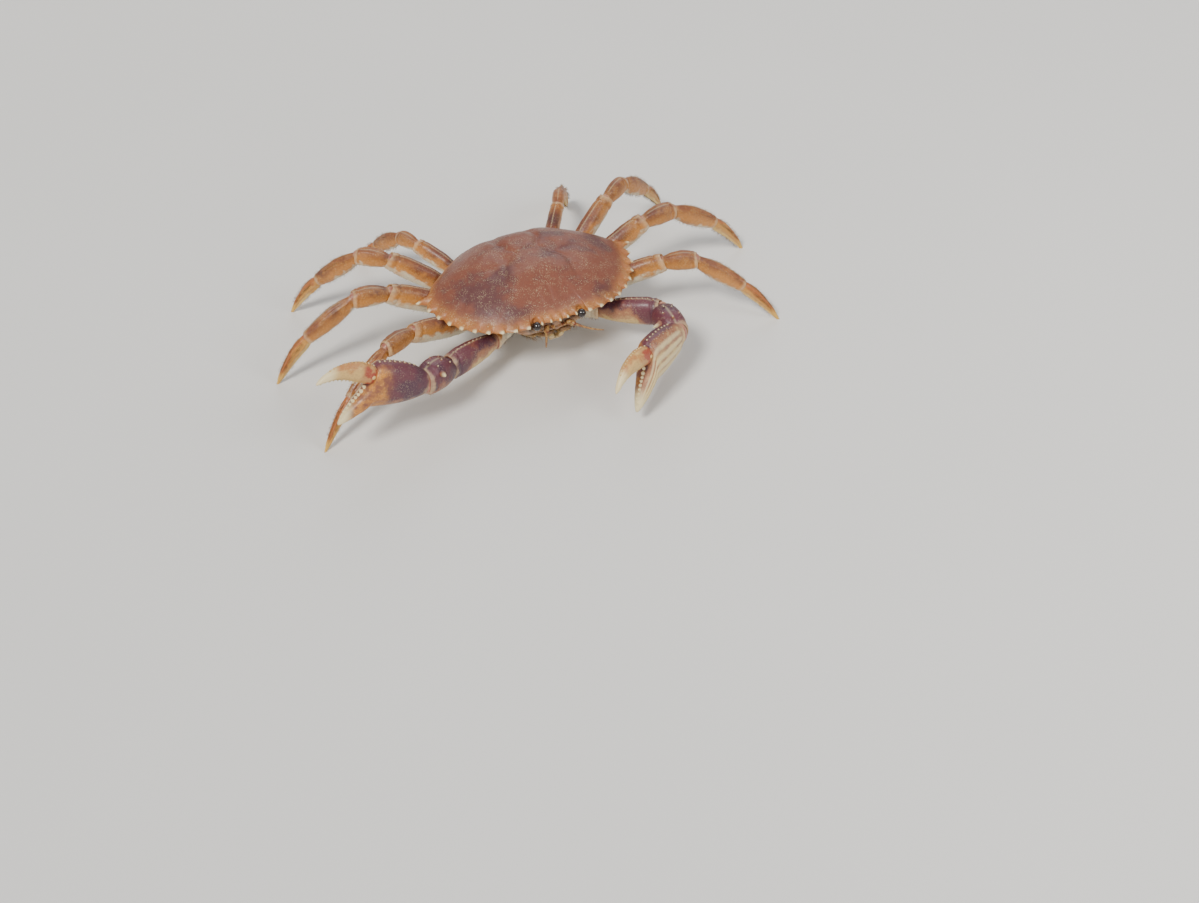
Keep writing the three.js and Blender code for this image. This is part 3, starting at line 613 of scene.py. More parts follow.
def shell_material(
    name, top, flank, under, tip, stain=None, warm=None, rim=None, turn_at=(-0.35, 0.45), wet=0.1,
    granule=0.9, pale_grains=0.35, spread=1.0,
):
    """Calcified crab shell, grown in layers and waxy on top: a satin gloss over close granules, whose
    tips wear paler. Top colours the back of a piece, flank its sides, under its belly, tip its teeth."""
    material, tree, shader = new_material(name, IOR=1.53, Coat_Weight=wet, Coat_Roughness=0.25)
    place = add(tree, "TexCoord").outputs["Object"]
    mark = {key: add(tree, "Attribute", attribute_name=key).outputs["Fac"] for key in Skin.MARKS}
    broad = noise(tree, place, 26, 3.0, 0.55)
    blotch = noise(tree, place, 6.5, 5.0, 0.64)
    fine = noise(tree, place, 1.3, 3.0, 0.6)
    height = scaled_sum(tree, blotch, 1.6 * spread, mark["back"])
    height = scaled_sum(tree, broad, 1.4 * spread, height)
    middle = 1.5 * spread
    lower = remap(tree, height, middle + turn_at[0] - 0.22, middle + turn_at[0] + 0.22)
    upper = remap(tree, height, middle + turn_at[1] - 0.3, middle + turn_at[1] + 0.3)
    crown = mix(tree, remap(tree, broad, 0.46, 0.62, 0.0, 0.85), rgba(top), rgba(stain or top))
    colour = mix(tree, upper, mix(tree, lower, rgba(under), rgba(flank)), crown)
    if warm is not None:
        broken = remap(tree, blotch, 0.36, 0.62, 0.25, 1.0)
        colour = mix(tree, product(tree, mark["warm"], broken), colour, rgba(warm))
    smoke = remap(tree, fine, 0.42, 0.7, 0.0, 0.22)
    colour = mix(tree, smoke, colour, rgba([c * 0.4 for c in top]))
    cells = {"Vector": place, "Scale": 1 / (granule * MM), "Randomness": 1.0}
    grains = add(tree, "TexVoronoi", cells, feature="F1").outputs["Distance"]
    worn = remap(tree, grains, 0.12, 0.42, pale_grains, 0.0)
    worn = product(tree, worn, remap(tree, blotch, 0.4, 0.62))
    colour = mix(tree, worn, colour, rgba(tip))
    colour = mix(tree, remap(tree, mark["ridge"], 0.15, 0.95, 0.0, 0.6), colour, rgba(tip))
    if rim is not None:
        away = add(tree, "Math", {0: mark["along"], 1: 0.5}, operation="SUBTRACT").outputs[0]
        away = add(tree, "Math", {0: away}, operation="ABSOLUTE").outputs[0]
        away = scaled_sum(tree, blotch, 0.14, away)
        colour = mix(tree, remap(tree, away, 0.51, 0.59, 0.0, 0.6), colour, rgba(rim))
    colour = mix(tree, remap(tree, mark["tip"], 0.25, 0.85), colour, rgba(tip))
    tree.links.new(colour, shader.inputs["Base Color"])
    tree.links.new(remap(tree, fine, 0.3, 0.75, 0.4, 0.58), shader.inputs["Roughness"])
    relief = scaled_sum(tree, grains, -0.7, fine)
    lumps = add(tree, "Bump", {"Height": relief, "Strength": 0.4, "Distance": 0.22 * MM})
    tree.links.new(lumps.outputs[0], shader.inputs["Normal"])
    return material


def plain_material(name, colour, second, size, roughness, bump_depth=0.1, **principled):
    """A finish of two close colours that drift into each other over a real size in millimetres."""
    material, tree, shader = new_material(name, Roughness=roughness, **principled)
    place = add(tree, "TexCoord").outputs["Object"]
    drift = add(tree, "TexNoise", {"Vector": place, "Scale": 1 / (size * MM), "Detail": 4.0}).outputs[0]
    shade = mix(tree, remap(tree, drift, 0.35, 0.65), rgba(colour), rgba(second))
    tree.links.new(shade, shader.inputs["Base Color"])
    lumps = add(tree, "Bump", {"Height": drift, "Strength": 0.3, "Distance": bump_depth * MM})
    tree.links.new(lumps.outputs[0], shader.inputs["Normal"])
    return material


MATERIALS = {}


def finish(key):
    """The named finish, made the first time that it is asked for."""
    if key not in MATERIALS:
        c = bpy.context.scene.crab_colours
        makers = {
            # The back is thick calcified chitin with a dull wax, so it is satin and finely granular
            "back": lambda: shell_material(
                "waxed chitin, reddish brown back", c.back, c.back_flank, c.margin, c.cream,
                stain=c.back_stain, warm=c.amber, turn_at=(-0.75, -0.05), pale_grains=0.5, spread=0.7,
            ),
            # The breast is bare chitin with no wax, greyer and duller than the back
            "under": lambda: shell_material(
                "calcified chitin, grey breast", c.under_warm, c.under, c.under, c.cream,
                warm=c.margin, turn_at=(-0.2, 0.35), wet=0.04,
            ),
            # The apron is thinner chitin, cream on its rings, brown at its sides, and darker along the seams
            # between the rings as painted shade
            "apron": lambda: shell_material(
                "calcified chitin, cream apron", c.cream, c.ochre, c.apron_edge, c.cream,
                warm=c.ochre, turn_at=(-0.16, 0.04), wet=0.06, pale_grains=0.1, spread=1.6,
            ),
            # Mouth plates are smooth chitin, cream with brown edges, and darker in their grooves and at
            # their joints as painted shade
            "mouth": lambda: shell_material(
                "calcified chitin, tan mouth plates", c.mouth, c.ochre, c.apron_edge, c.cream,
                turn_at=(-0.5, 0.1), pale_grains=0.15, spread=0.7,
            ),
            # Legs wear a thin wax over the chitin, so they shine a little more than the back
            "leg": lambda: shell_material(
                "waxed chitin, orange brown leg", c.leg_top, c.leg_flank, c.leg_under, c.cream,
                stain=c.leg_stain, warm=c.amber, rim=c.joint, wet=0.16, turn_at=(-0.3, 0.35),
            ),
            # Leg tips are worn smooth and horny towards the point
            "leg_tip": lambda: shell_material(
                "waxed chitin, amber leg tip", c.tip_top, c.tip_flank, c.tip_under, c.horn, wet=0.16,
                turn_at=(-0.5, 0.5), pale_grains=0.1,
            ),
            # Claw arms have the same wax over a purple brown shell
            "claw": lambda: shell_material(
                "waxed chitin, maroon claw", c.claw_top, c.claw_flank, c.claw_under, c.cream,
                stain=c.claw_stain, warm=c.amber, rim=c.joint, wet=0.16, turn_at=(-0.25, 0.3), spread=0.8,
            ),
            # The fingers are the hardest, densest shell, pale and nearly smooth
            "finger": lambda: shell_material(
                "dense chitin, cream claw finger", c.finger_top, c.finger, c.finger, c.tooth,
                warm=c.joint_red, wet=0.16, turn_at=(-0.8, 0.45), pale_grains=0.2,
            ),
            # Membrane is uncalcified skin, soft, wet and pink from the flesh under it
            "joint": lambda: plain_material(
                "wet joint membrane", c.membrane, c.membrane_pale, 5.0, 0.32, Coat_Weight=0.3,
            ),
            # The eye is a clear smooth lens over black, the glossiest thing on the crab
            "eye": lambda: plain_material(
                "glossy eye", c.eye, c.eye_sheen, 1.2, 0.08, Coat_Weight=0.8, IOR=1.5,
            ),
            # Bristles are bare brown chitin, paler where they catch the light
            "bristle": lambda: plain_material("chitin bristles", c.bristle, c.bristle_pale, 3.0, 0.5),
            # Feelers are short rings of the leg's own shell, dull and banded
            "feeler": lambda: plain_material(
                "ringed feeler chitin", c.leg_top, c.ochre, 2.5, 0.45, bump_depth=0.3,
            ),
        }
        MATERIALS[key] = makers[key]()
    return MATERIALS[key]


# The back


def half_edge(count):
    """The edge of the back from the middle of the front round the left side to the rear, as points at
    even steps, with the angle round the side arc of each (or minus one off the arc)."""
    samples = 400
    t = np.linspace(0, 1, samples)[:, None]
    arc = -math.pi / 2 + t[:, 0] * math.pi / 2

    def bezier(*p):
        p = np.array(p, float)
        if len(p) == 3:
            return (1 - t) ** 2 * p[0] + 2 * t * (1 - t) * p[1] + t**2 * p[2]
        return (1 - t) ** 3 * p[0] + 3 * t * (1 - t) ** 2 * p[1] + 3 * t**2 * (1 - t) * p[2] + t**3 * p[3]

    brow = ((0, FRONT_Y), (0.75 * FRONT_HALF, FRONT_Y + 2), (FRONT_HALF, FRONT_Y + 2.6))
    front = [(1 - t) * start + t * end for start, end in zip(brow, brow[1:])]
    side = np.stack([
        FRONT_HALF + (MARGIN_HALF - FRONT_HALF) * np.cos(arc),
        2 + (1.4 - FRONT_Y) * np.sin(arc),
    ], -1)
    rear = bezier(
        (MARGIN_HALF, 2), (MARGIN_HALF - 6, 13), (REAR_HALF + 17, REAR_Y - 16), (REAR_HALF, REAR_Y - 3),
    )
    back = bezier((REAR_HALF, REAR_Y - 3), (REAR_HALF - 8, REAR_Y), (0, REAR_Y))
    path = np.concatenate([*front, side, rear, back])
    off_arc = np.full(2 * samples, -1.0)
    on_arc = np.concatenate([off_arc, math.pi / 2 + arc, off_arc])
    walked = np.concatenate([[0], np.cumsum(np.linalg.norm(np.diff(path, axis=0), axis=1))])
    even = np.linspace(0, walked[-1], count)
    points = np.stack([np.interp(even, walked, path[:, k]) for k in (0, 1)], -1)
    nearest = np.clip(np.searchsorted(walked, even), 0, len(path) - 1)
    return points, on_arc[nearest]


def edge_height(y):
    """Height of the edge of the back over the plane of the last side teeth."""
    return np.where(y < 0, FRONT_RISE * (y / FRONT_Y) ** 2, -REAR_FALL * (y / REAR_Y) ** 2)


# Swellings and hollows of the left half of the back: place, spread each way and height
LOBES = [
    (0, -22, 13, 15, 1.6), (17, -30, 12, 12, 1.2), (0, 17, 11, 12, 1.5), (34, 4, 18, 16, 1.6),
    (44, -20, 13, 12, 1), (19, -4, 5, 9, -1.5), (14, 18, 4, 14, -1.4), (29, -16, 5, 13, -0.9),
]
# Grooves of the left half of the back, as short runs of points (x, y), with their depth and width
GROOVES = [
    ([(8, -3), (14, -6), (20, -12.5), (24.5, -21), (26, -30), (25, -39)], 0.85, 2.4),
    ([(8, -3), (12, 5), (15.5, 13), (14.5, 24), (11, 33)], 1.1, 2.2),
    ([(20, -12.5), (29, -10), (40, -12), (51, -19), (59, -27)], 0.4, 2.4),
    ([(0.01, -58), (0, -50), (0.01, -42)], 0.5, 1.6),
    ([(8, -51), (9, -43), (6, -36)], 0.3, 1.8),
    ([(8, -3), (4, -1.2), (0, -0.6)], 0.5, 2.0),
    ([(30, 36), (15, 39.5), (0, 40.5)], 0.6, 1.9),
]


def lobes_at(x, y):
    """Soft swellings and hollows of the back, as in the solids."""
    total = np.zeros_like(x)
    for lobe_x, lobe_y, spread_x, spread_y, height in LOBES:
        for side in (1, -1) if lobe_x else (1,):
            away = ((x - side * lobe_x) / spread_x) ** 2 + ((y - lobe_y) / spread_y) ** 2
            total += height * np.exp(-away)
    return total


def grooves_at(x, y):
    """Depth of the fine grooves between the regions of the back."""
    x = np.abs(x)
    depth = np.zeros_like(x)
    for run, deep, wide in GROOVES:
        nearest = np.full_like(x, 1e9)
        for (ax, ay), (bx, by) in zip(run, run[1:]):
            span = (bx - ax) ** 2 + (by - ay) ** 2
            t = np.clip(((x - ax) * (bx - ax) + (y - ay) * (by - ay)) / span, 0, 1)
            nearest = np.minimum(nearest, np.hypot(x - ax - t * (bx - ax), y - ay - t * (by - ay)))
        depth = np.maximum(depth, deep * bump(nearest, wide))
    return depth


def tooth_reach(points, arc):
    """How far each point of the edge is drawn out by the teeth, and which way, with a mark for tips."""
    out = np.zeros((len(points), 2))
    tip = np.zeros(len(points))
    start, span = 0.03, 0.955
    step = span / (SIDE_TEETH - 1)
    share = (arc / (math.pi / 2) - start) / span
    for i in range(SIDE_TEETH):
        at = i / (SIDE_TEETH - 1)
        last = i == SIDE_TEETH - 1
        size = 1.9 if last else 0.92 + 0.2 * at
        aim = math.pi / 2 * (start + span * at) - 0.55 + 0.5 * at**3
        away = (share - at) / step * span
        rise = np.clip(np.where(away < 0, 1 + away / 0.34, 1 - away / (0.9 if last else 0.62)), 0, 1)
        rise = np.where(arc >= 0, rise, 0) ** (1.15 if last else 0.9)
        height = 4.4 * size - 0.6
        out += (height * rise)[:, None] * np.array([math.sin(aim), -math.cos(aim)])
        tip = np.maximum(tip, rise)
    x = points[:, 0]
    front = (arc < 0) & (points[:, 1] < 0)
    # The small teeth of the brow: how far aside, how long and how wide
    for at, height, wide in ((0, 3.6, 2.6), (6.5, 2.8, 2.4), (13.5, 3.8, 2.4)):
        rise = np.where(front, np.clip(1 - np.abs(x - at) / wide, 0, 1), 0)
        out[:, 1] -= height * rise
        tip = np.maximum(tip, rise)
    orbit = np.where((points[:, 1] < 0), bump(x - 17.6, 2.4), 0)
    out[:, 1] += 3.2 * orbit
    return out, tip


def softened(loop, reach):
    """A closed loop of points with its corners rounded over a reach of points each way."""
    weight = np.cos(np.linspace(-math.pi / 2, math.pi / 2, 2 * reach + 1)) ** 2
    shifted = (np.roll(loop, k, axis=0) * w for k, w in zip(range(-reach, reach + 1), weight / weight.sum()))
    return sum(shifted)


def belly_height(s):
    """Height of the underside of the back over its edge, at a share s of the way out to the edge."""
    return -RIM_DROP - BELLY_DROP * (1 - s**1.6) ** 2


def carapace(around=720, top_rings=96, under_rings=40):
    """The back: a domed lens with lobes, grooves, granules and saw-toothed edges."""
    half = around // 2 + 1
    edge, arc = half_edge(half)
    out, tip = tooth_reach(edge, arc)
    serration = 1 + 0.056 * np.sin(np.arange(half) * 2.1) * (arc >= 0)
    out = out * serration[:, None]
    mirror = slice(half - 2, 0, -1)
    flip = np.array([-1, 1])
    edge = np.concatenate([edge, edge[mirror] * flip])
    out = np.concatenate([out, out[mirror] * flip])
    tip = np.concatenate([tip, tip[mirror]])
    soft = softened(edge, around // 30)
    s_top = 1 - (1 - np.linspace(0.012, 1, top_rings)) ** 1.35
    s_under = 1 - np.linspace(0, 0.96, under_rings) ** 1.25

    def sheet(s, upper):
        s = s[:, None]
        x, y = (soft[:, k] + (edge - soft)[:, k] * s**9 for k in (0, 1))
        x = s * x
        y = s * (y - DOME_Y) + DOME_Y
        if upper:
            z = DOME_HEIGHT * np.clip(1 - s**2.5, 0, 1) ** 0.86 + lobes_at(x, y) * (1 - s**6)
            flat = np.stack([x, y, 0 * x], -1)
            wobble = 1.2 * grain(flat, 7, 15)
            z -= grooves_at(x + wobble, y + wobble) * (1 - s**8)
            fade = 1 - ease(0.97, 1, s)
            z += fade * (0.07 * grain(flat, 1.5, 3) + 0.12 * grain(flat, 5, 4) + 0.25 * grain(flat, 11, 9))
            rear_rim = bump(s - 0.955, 0.012) - bump(s - 0.925, 0.012)
            z += 0.5 * rear_rim * ease(5, 14, y)
        else:
            z = belly_height(s)
        z = z + edge_height(y) * s
        pull = ease(0.93, 1, s) ** 1.3
        x = x + pull * out[:, 0]
        y = y + pull * out[:, 1]
        z = z + pull * tip * (0.6 if upper else 1.6)
        return np.stack([x, y, z], -1)

    top, under = sheet(s_top, True), sheet(s_under, False)
    outward = unit(np.stack([edge[:, 0], edge[:, 1], 0 * tip], -1))
    rim = (top[-1] + under[0]) / 2 + (0.35 - 0.25 * tip)[:, None] * outward
    rings = np.concatenate([top, rim[None], under])
    share = np.concatenate([s_top, [1.0], s_under])[:, None]
    upper = np.concatenate([np.ones(top_rings), [0.0], np.zeros(under_rings)])[:, None]
    back = upper * (1 - 1.1 * ease(0.8, 1, share)) + (1 - upper) * (-0.75)
    # The grooves take more of the dark back colour: painted shade in the grooves of the back.
    depth = grooves_at(rings[..., 0], rings[..., 1]) * upper
    skin = Skin()
    skin.tube(
        rings, origin=BODY, along=share, back=back + 0.35 * depth,
        tip=ease(0.965, 1, share) * ease(0.42, 0.95, tip[None]), warm=0.55 * ease(0.86, 1, share),
    )
    return skin


# The underside

THORAX = [
    (-0.53, 3, 19, -3.5), (-0.47, 6.4, 24, -7.5), (-0.38, 8.6, 27, -12.5), (-0.29, 10, 27, -17),
    (-0.2, 10.8, 27.5, -19.6), (-0.08, 11, 30, -20.8), (0.04, 11, 31, -21), (0.16, 10.6, 29, -21),
    (0.27, 9.6, 24, -20), (0.35, 8, 17.5, -18), (0.39, 5, 10, -16),
]
APRON_PATH = [
    (36, -9), (43.5, -10.5), (46.5, -17), (44, -25), (36, -30.5), (22, -33.2), (5, -34), (-14, -33.2),
]
APRON_WIDTHS = [15, 17.5, 20, 22, 23.5, 24.6, 25.3, 25.6, 25.5, 25, 24, 22.4, 19.8, 15.6, 8.5]
APRON_RINGS = 7
SEAMS = (-22, -8.5, 5, 18)  # between the sections of the breast, one for each pair of legs
TO_REAR = np.array([[0, -1, 0], [1, 0, 0], [0, 0, 1]])  # the turn that lays X along the body

# Small forms of the face: rows of place along, half height, half thickness and lift
BROW_BAR = [
    (-12.5, 0.7, 0.6, 0), (-8, 1.2, 1.1, 0.5), (-3, 1.0, 1.0, 0), (0, 1.35, 1.3, -0.5),
    (3, 1.0, 1.0, 0), (8, 1.2, 1.1, 0.5), (12.5, 0.7, 0.6, 0),
]
MOUTH_PLATE = [
    (-1, 1.8, 4.4, 0), (3, 2.5, 6, 0), (21, 2.8, 5.9, 0.3), (23, 2.2, 5.4, 0), (25, 2.7, 5.8, 0.4),
    (34, 2.5, 5.6, 0.2), (38, 1.5, 3.8, -0.4),
]
MOUTH_BRANCH = [(0, 1.8, 1.8, 0), (7, 2.2, 2.5, 0), (24, 1.9, 2.1, 0), (33, 1.1, 1.1, 0)]
MOUTH_PALP = [(0, 1.3, 1.5, 0), (4, 2, 2.2, 0), (10, 1.7, 1.8, 0), (15, 0.9, 1, 0)]
EYE_STALK = [
    (-6, 1.6, 1.6, 0), (-3, 2, 2, 0), (0, 2.2, 2.2, 0), (2.2, 2.75, 2.75, 0), (2.9, 2.3, 2.3, 0),
]
FEELER = [
    (-3, 1.2, 1.2, 0), (0, 2, 2.1, 0), (5, 1.9, 2, 0), (7, 1.1, 1.1, 0.2), (14, 0.8, 0.8, 0.8),
    (22, 0.65, 0.65, 2.2), (30, 0.5, 0.5, 4.4), (35, 0.3, 0.3, 6.2),
]
INNER_FEELER = [
    (-1.5, 1.3, 1.3, 0), (0, 1.6, 1.5, 0), (2.2, 1.3, 1.2, 0.2), (2.7, 0.8, 0.8, 0.3),
    (5.2, 0.7, 0.7, 0.8), (5.6, 0.5, 0.5, 0.9), (7.4, 0.55, 0.55, 1.3), (8, 0.2, 0.2, 1.4),
]


def thorax():
    """The breast: a seam between the sections of each pair of legs, and the raised frame of the mouth."""
    stations = [(share * CARAPACE_LENGTH, h, w, lift) for share, h, w, lift in THORAX]
    rings, angle = rings_of(stations, 220, 176, 2.7, crowd=0.4)
    along, aside = rings[..., 0], np.abs(rings[..., 1])
    below = ease(0.05, 0.5, -np.sin(angle))
    fore = ease(24, 30, -along)
    seams = sum(bump(along - seam - 0.12 * (aside - 14), 0.8) for seam in SEAMS) * (1 - fore)
    frame_edge = 18.4 - 3.2 * ease(44, 58, -along)
    ridge = bump(aside - frame_edge, 0.75) * fore
    cheek = bump(aside - frame_edge - 2.6, 0.8) * fore
    lumps = 0.16 * grain(rings, 2.2, 12) + 0.22 * grain(rings, 6, 13)
    rise = below * (0.9 * ridge - 0.55 * cheek - 0.95 * seams) + lumps
    rings = rings + rise[..., None] * ways_out(rings)
    near = sum(bump(along - seam, 2.4) for seam in SEAMS) * (1 - fore)
    back = 0.1 - 0.6 * near + 0.35 * bump(aside - 21, 7) * (1 - fore)
    warm = 0.95 * fore * (1 - 0.4 * cheek)
    skin = Skin()
    skin.tube(rings, TO_REAR, BODY, back=back, along=0.5, warm=warm, ridge=0.5 * ridge * below)
    bar, _ = rings_of([(x + 13, h, t, lift) for x, h, t, lift in BROW_BAR], 60, 20)
    skin.tube(bar - [13, 0, 0], None, BODY + [0, -57.4, -7.2], back=0.2, along=0.5, warm=0.8, ridge=0.3)
    return skin


def apron(rings=260, across=72):
    """The tail folded under the body, in seven overlapping rings."""
    path = np.array(APRON_PATH, float)
    knots = np.concatenate([[0], np.cumsum(np.linalg.norm(np.diff(path, axis=0), axis=1))])
    u = np.linspace(0, 1, rings)
    yz = np.stack([smooth_curve(knots, path[:, k], u * knots[-1]) for k in (0, 1)], -1)
    way = unit(np.gradient(yz, axis=0))
    wide = smooth(np.linspace(0, 1, len(APRON_WIDTHS)), APRON_WIDTHS, u)
    plate = (u * APRON_RINGS) % 1
    seam = np.minimum(plate, 1 - plate)
    step = 0.9 * plate - 1.5 * bump(seam, 0.045)
    angle = np.arange(across) / across * TAU
    c, s = np.cos(angle)[None], np.sin(angle)[None]
    reach = box_reach(c, s, 2.4)
    x = c * reach * wide[:, None] * (1 - 0.02 * bump(seam, 0.08))[:, None]
    hump = 0.35 * (1 - c * c) + 0.3 * bump(np.abs(c) - 0.45, 0.2)
    raised = 0.75 * step[:, None] + hump * (1 - bump(seam, 0.1))[:, None]
    lift = s * reach * (1.5 + raised * (s > 0))
    lift = lift * (1 - 0.6 * ease(0.9, 1, u))[:, None]
    y = yz[:, :1] + lift * way[:, 1:]
    z = yz[:, 1:] - lift * way[:, :1]
    z = z + 0.0035 * x * x * (1 - np.abs(u - 0.5))[:, None]
    # Brown at the sides, and darker along the seams between the rings: painted shade in the seams.
    near = 0.9 * bump(seam, 0.09)[:, None] + 0.7 * ease(0.8, 1, np.abs(c)) + 0 * x
    warm = 0.9 * (1 - ease(0.2, 0.45, u))[:, None]
    skin = Skin()
    skin.tube(np.stack([x, y, z], -1), origin=BODY, back=0.2 - near, along=0.5, warm=warm)
    return skin


def mouth_frame(side):
    """The turn and root of an outer mouth plate, as in the solids."""
    tilt = math.radians(-32)
    fore = np.array([[0, 1, 0], [-1, 0, 0], [0, 0, 1]])
    pitch = np.array([[math.cos(tilt), 0, math.sin(tilt)], [0, 1, 0], [-math.sin(tilt), 0, math.cos(tilt)]])
    return fore @ pitch, BODY + np.array([side * 6.8, -25.5, -31])


def mouth_plate(side):
    """An outer mouth plate, its slim outer branch and its folded palp."""
    turn, root = mouth_frame(side)

    def groove(share, angle):
        below = turned(angle + math.pi / 2)
        line = -0.55 * bump(below - 0.3 * side, 0.16) + 0.25 * bump(below + 0.45 * side, 0.25)
        line = line * ease(0.03, 0.1, share) * (1 - ease(0.5, 0.57, share))
        return line - 0.35 * bump(share - 0.585, 0.012)

    # Brown at the edges of a plate, and darker in its groove and at its joints: painted shade in the
    # grooves.
    def edge_colour_and_groove_shade(rings, angle, joints=()):
        below = turned(angle + math.pi / 2)
        near = ease(0.75, 1.35, np.abs(below)) + bump(below - 0.3 * side, 0.2)
        return 0.45 - 0.9 * near - sum(1.1 * bump(rings[..., 0] - x, 0.8) for x in joints)

    def knuckles(share, angle):
        return -0.4 * bump(share - 0.36, 0.03) - 0.35 * bump(share - 0.7, 0.03)

    skin = Skin()
    rings, angle = rings_of(MOUTH_PLATE, 130, 72, 2.8, groove, crowd=0.3)
    skin.tube(rings, turn, root, back=edge_colour_and_groove_shade(rings, angle, (22.4, 37.5)), along=0.5)
    rings, angle = rings_of(MOUTH_BRANCH, 60, 32)
    beside = rings @ turn_about_up(0.03 * side).T + [0, side * 8, 0.4]
    skin.tube(beside, turn, root, back=edge_colour_and_groove_shade(rings, angle) - 0.1, along=0.5)
    rings, angle = rings_of(MOUTH_PALP, 70, 32, 2.3, knuckles)
    fold = turn_about_up(0.2 * side) @ turn_about_across(math.degrees(2.8))
    # Darker at the knuckles of the palp: painted shade in its grooves.
    marks = 0.3 - bump(rings[..., 0] - 5.4, 0.8) - bump(rings[..., 0] - 10.5, 0.7)
    skin.tube(rings @ fold.T + [37, -side * 2.6, -2], turn, root, back=marks, along=0.5)
    return skin


def eye_skins(side):
    """The stalk and the ball of an eye."""
    turn = heading(side, 62, 16)
    root = BODY + np.array([side * 15.5, FRONT_Y + 3.4, 2.6])
    stalk = Skin()
    rings, _ = rings_of(EYE_STALK, 30, 28)
    stalk.tube(rings, turn, root, back=0.5, along=0.5)
    ball = Skin()
    t = np.linspace(0.02, 1, 26)[:, None] * math.pi
    angle = (np.arange(36) / 36 * TAU)[None]
    x = 4.25 - 3.3 * np.cos(t) + 0 * angle
    y = 3.25 * np.sin(t) * np.cos(angle)
    z = 3.3 * np.sin(t) * np.sin(angle)
    ball.tube(np.stack([x, y, z], -1), turn, root)
    return stalk, ball


def feeler(side):
    """A ringed feeler on its thick base, and the short inner feeler beside it."""

    def ringed(share, angle):
        return 0.09 * np.sin(share * 35 * TAU) * ease(0.2, 0.24, share) - 0.3 * bump(share - 0.075, 0.012)

    skin = Skin()
    rings, _ = rings_of(FEELER, 260, 14, 2.2, ringed)
    skin.tube(rings, heading(side, 66, 8), BODY + np.array([side * 8.6, FRONT_Y + 3.2, -3.4]), along=0.5)
    turn = heading(side, 80, 24)
    root = BODY + np.array([side * 4.2, FRONT_Y + 2.6, -3.6])
    rings, _ = rings_of(INNER_FEELER, 44, 16)
    skin.tube(rings, turn, root, along=0.5)
    tip = root + turn @ np.array([7.2, 0, 1.3])
    for lean, length in ((0, 3.4), (-0.45, 2.8)):
        skin.spike(tip, turn @ np.array([lean, 0, 1]), 0.34, length, rows=7, mark=0.0)
    return skin


# The limbs


PALM_BANDS = (-1.0, -0.62, -0.22, 0.2, 0.64)  # angles of the raised bands on the outer face
# Share of the length and angle of each small spine on a claw's carpus
CLAW_CARPUS_SPINES = ((0.3, 0.9), (0.5, 1.25), (0.75, 1.0), (0.85, 1.6), (0.6, 2.0), (0.4, 1.7))
# Rings along and points round each kind of segment
LIMB_POINTS = {
    "hip": (70, 64), "merus": (150, 80), "carpus": (90, 80), "propodus": (130, 80),
    "dactyl": (120, 60), "palm": (220, 128), "finger": (150, 80),
}


def limb_relief(segment):
    """The fine relief of a segment: crest, ridges, grooves and the collar behind its far end."""
    joint = segment.joint
    crest, keel = math.pi / 2, -math.pi / 2
    outer = segment.outer
    beads = max(6, round(segment.length / 1.9))

    def bead(share):
        return 0.75 + 0.25 * np.cos(share * beads * TAU)

    def relief(share, angle):
        body = ease(0.02, 0.14, share) * (1 - ease(0.86, 0.95, share))
        up = turned(angle - crest)
        down = turned(angle - keel)
        if joint == "hip":
            rings = -0.7 * bump(share - 0.42, 0.05) - 0.45 * bump(share - 0.78, 0.035)
            return rings + 0.3 * bump(share - 0.97, 0.05)
        if joint == "merus":
            lines = 0.5 * bump(up, 0.13) * bead(share) + 0.3 * bump(np.abs(down) - 0.5, 0.12) * bead(share)
            collar = -0.35 * bump(share - 0.9, 0.02) + 0.15 * bump(share - 0.955, 0.03)
            return body * lines + collar
        if joint == "carpus":
            lines = 0.45 * bump(np.abs(up) - 0.55, 0.15) * bead(share) - 0.4 * bump(up, 0.2)
            return body * lines + 0.12 * bump(share - 0.97, 0.05) - 0.25 * bump(share - 0.88, 0.03)
        if joint == "propodus":
            lines = 0.4 * bump(up, 0.14) * bead(share) + 0.35 * bump(np.abs(up) - 0.95, 0.12)
            cut = -0.5 * bump(np.abs(up) - 0.62, 0.13) - 0.45 * bump(np.abs(down) - 0.7, 0.14)
            return body * (lines + cut) + 0.25 * bump(share - 0.985, 0.03)
        if joint == "dactyl":
            grown = ease(0.05, 0.15, share) * (1 - ease(0.72, 0.95, share))
            return grown * 0.32 * np.cos(6 * angle)
        if joint == "palm":
            face = turned(angle - outer)
            hand = ease(0.04, 0.16, share) * (1 - ease(0.7, 0.83, share))
            bands = 0.45 * sum(bump(face - a, 0.15) for a in PALM_BANDS)
            carina = 0.22 * sum(bump(face - a, 0.04) for a in PALM_BANDS) * bead(share)
            inner = 0.3 * bump(turned(angle - outer - math.pi) + 0.5, 0.12)
            return hand * (bands + carina + inner + 0.35 * bump(up, 0.1) * bead(share))
        if joint == "finger":
            grown = ease(0.1, 0.22, share) * (1 - ease(0.7, 0.94, share))
            return grown * (-0.45 * bump(np.abs(up) - 0.75, 0.14) - 0.35 * bump(np.abs(down) - 0.8, 0.12))
        return 0 * share

    return relief


def limb_ridge(segment, share, angle):
    """A mark for the raised lines that are paler than the rest."""
    if segment.joint == "palm":
        face = turned(angle - segment.outer)
        return sum(bump(face - a, 0.15) for a in PALM_BANDS) * ease(0.04, 0.16, share)
    if segment.joint in ("merus", "propodus", "carpus"):
        return 0.55 * bump(turned(angle - math.pi / 2), 0.14) * ease(0.05, 0.2, share)
    return 0 * share


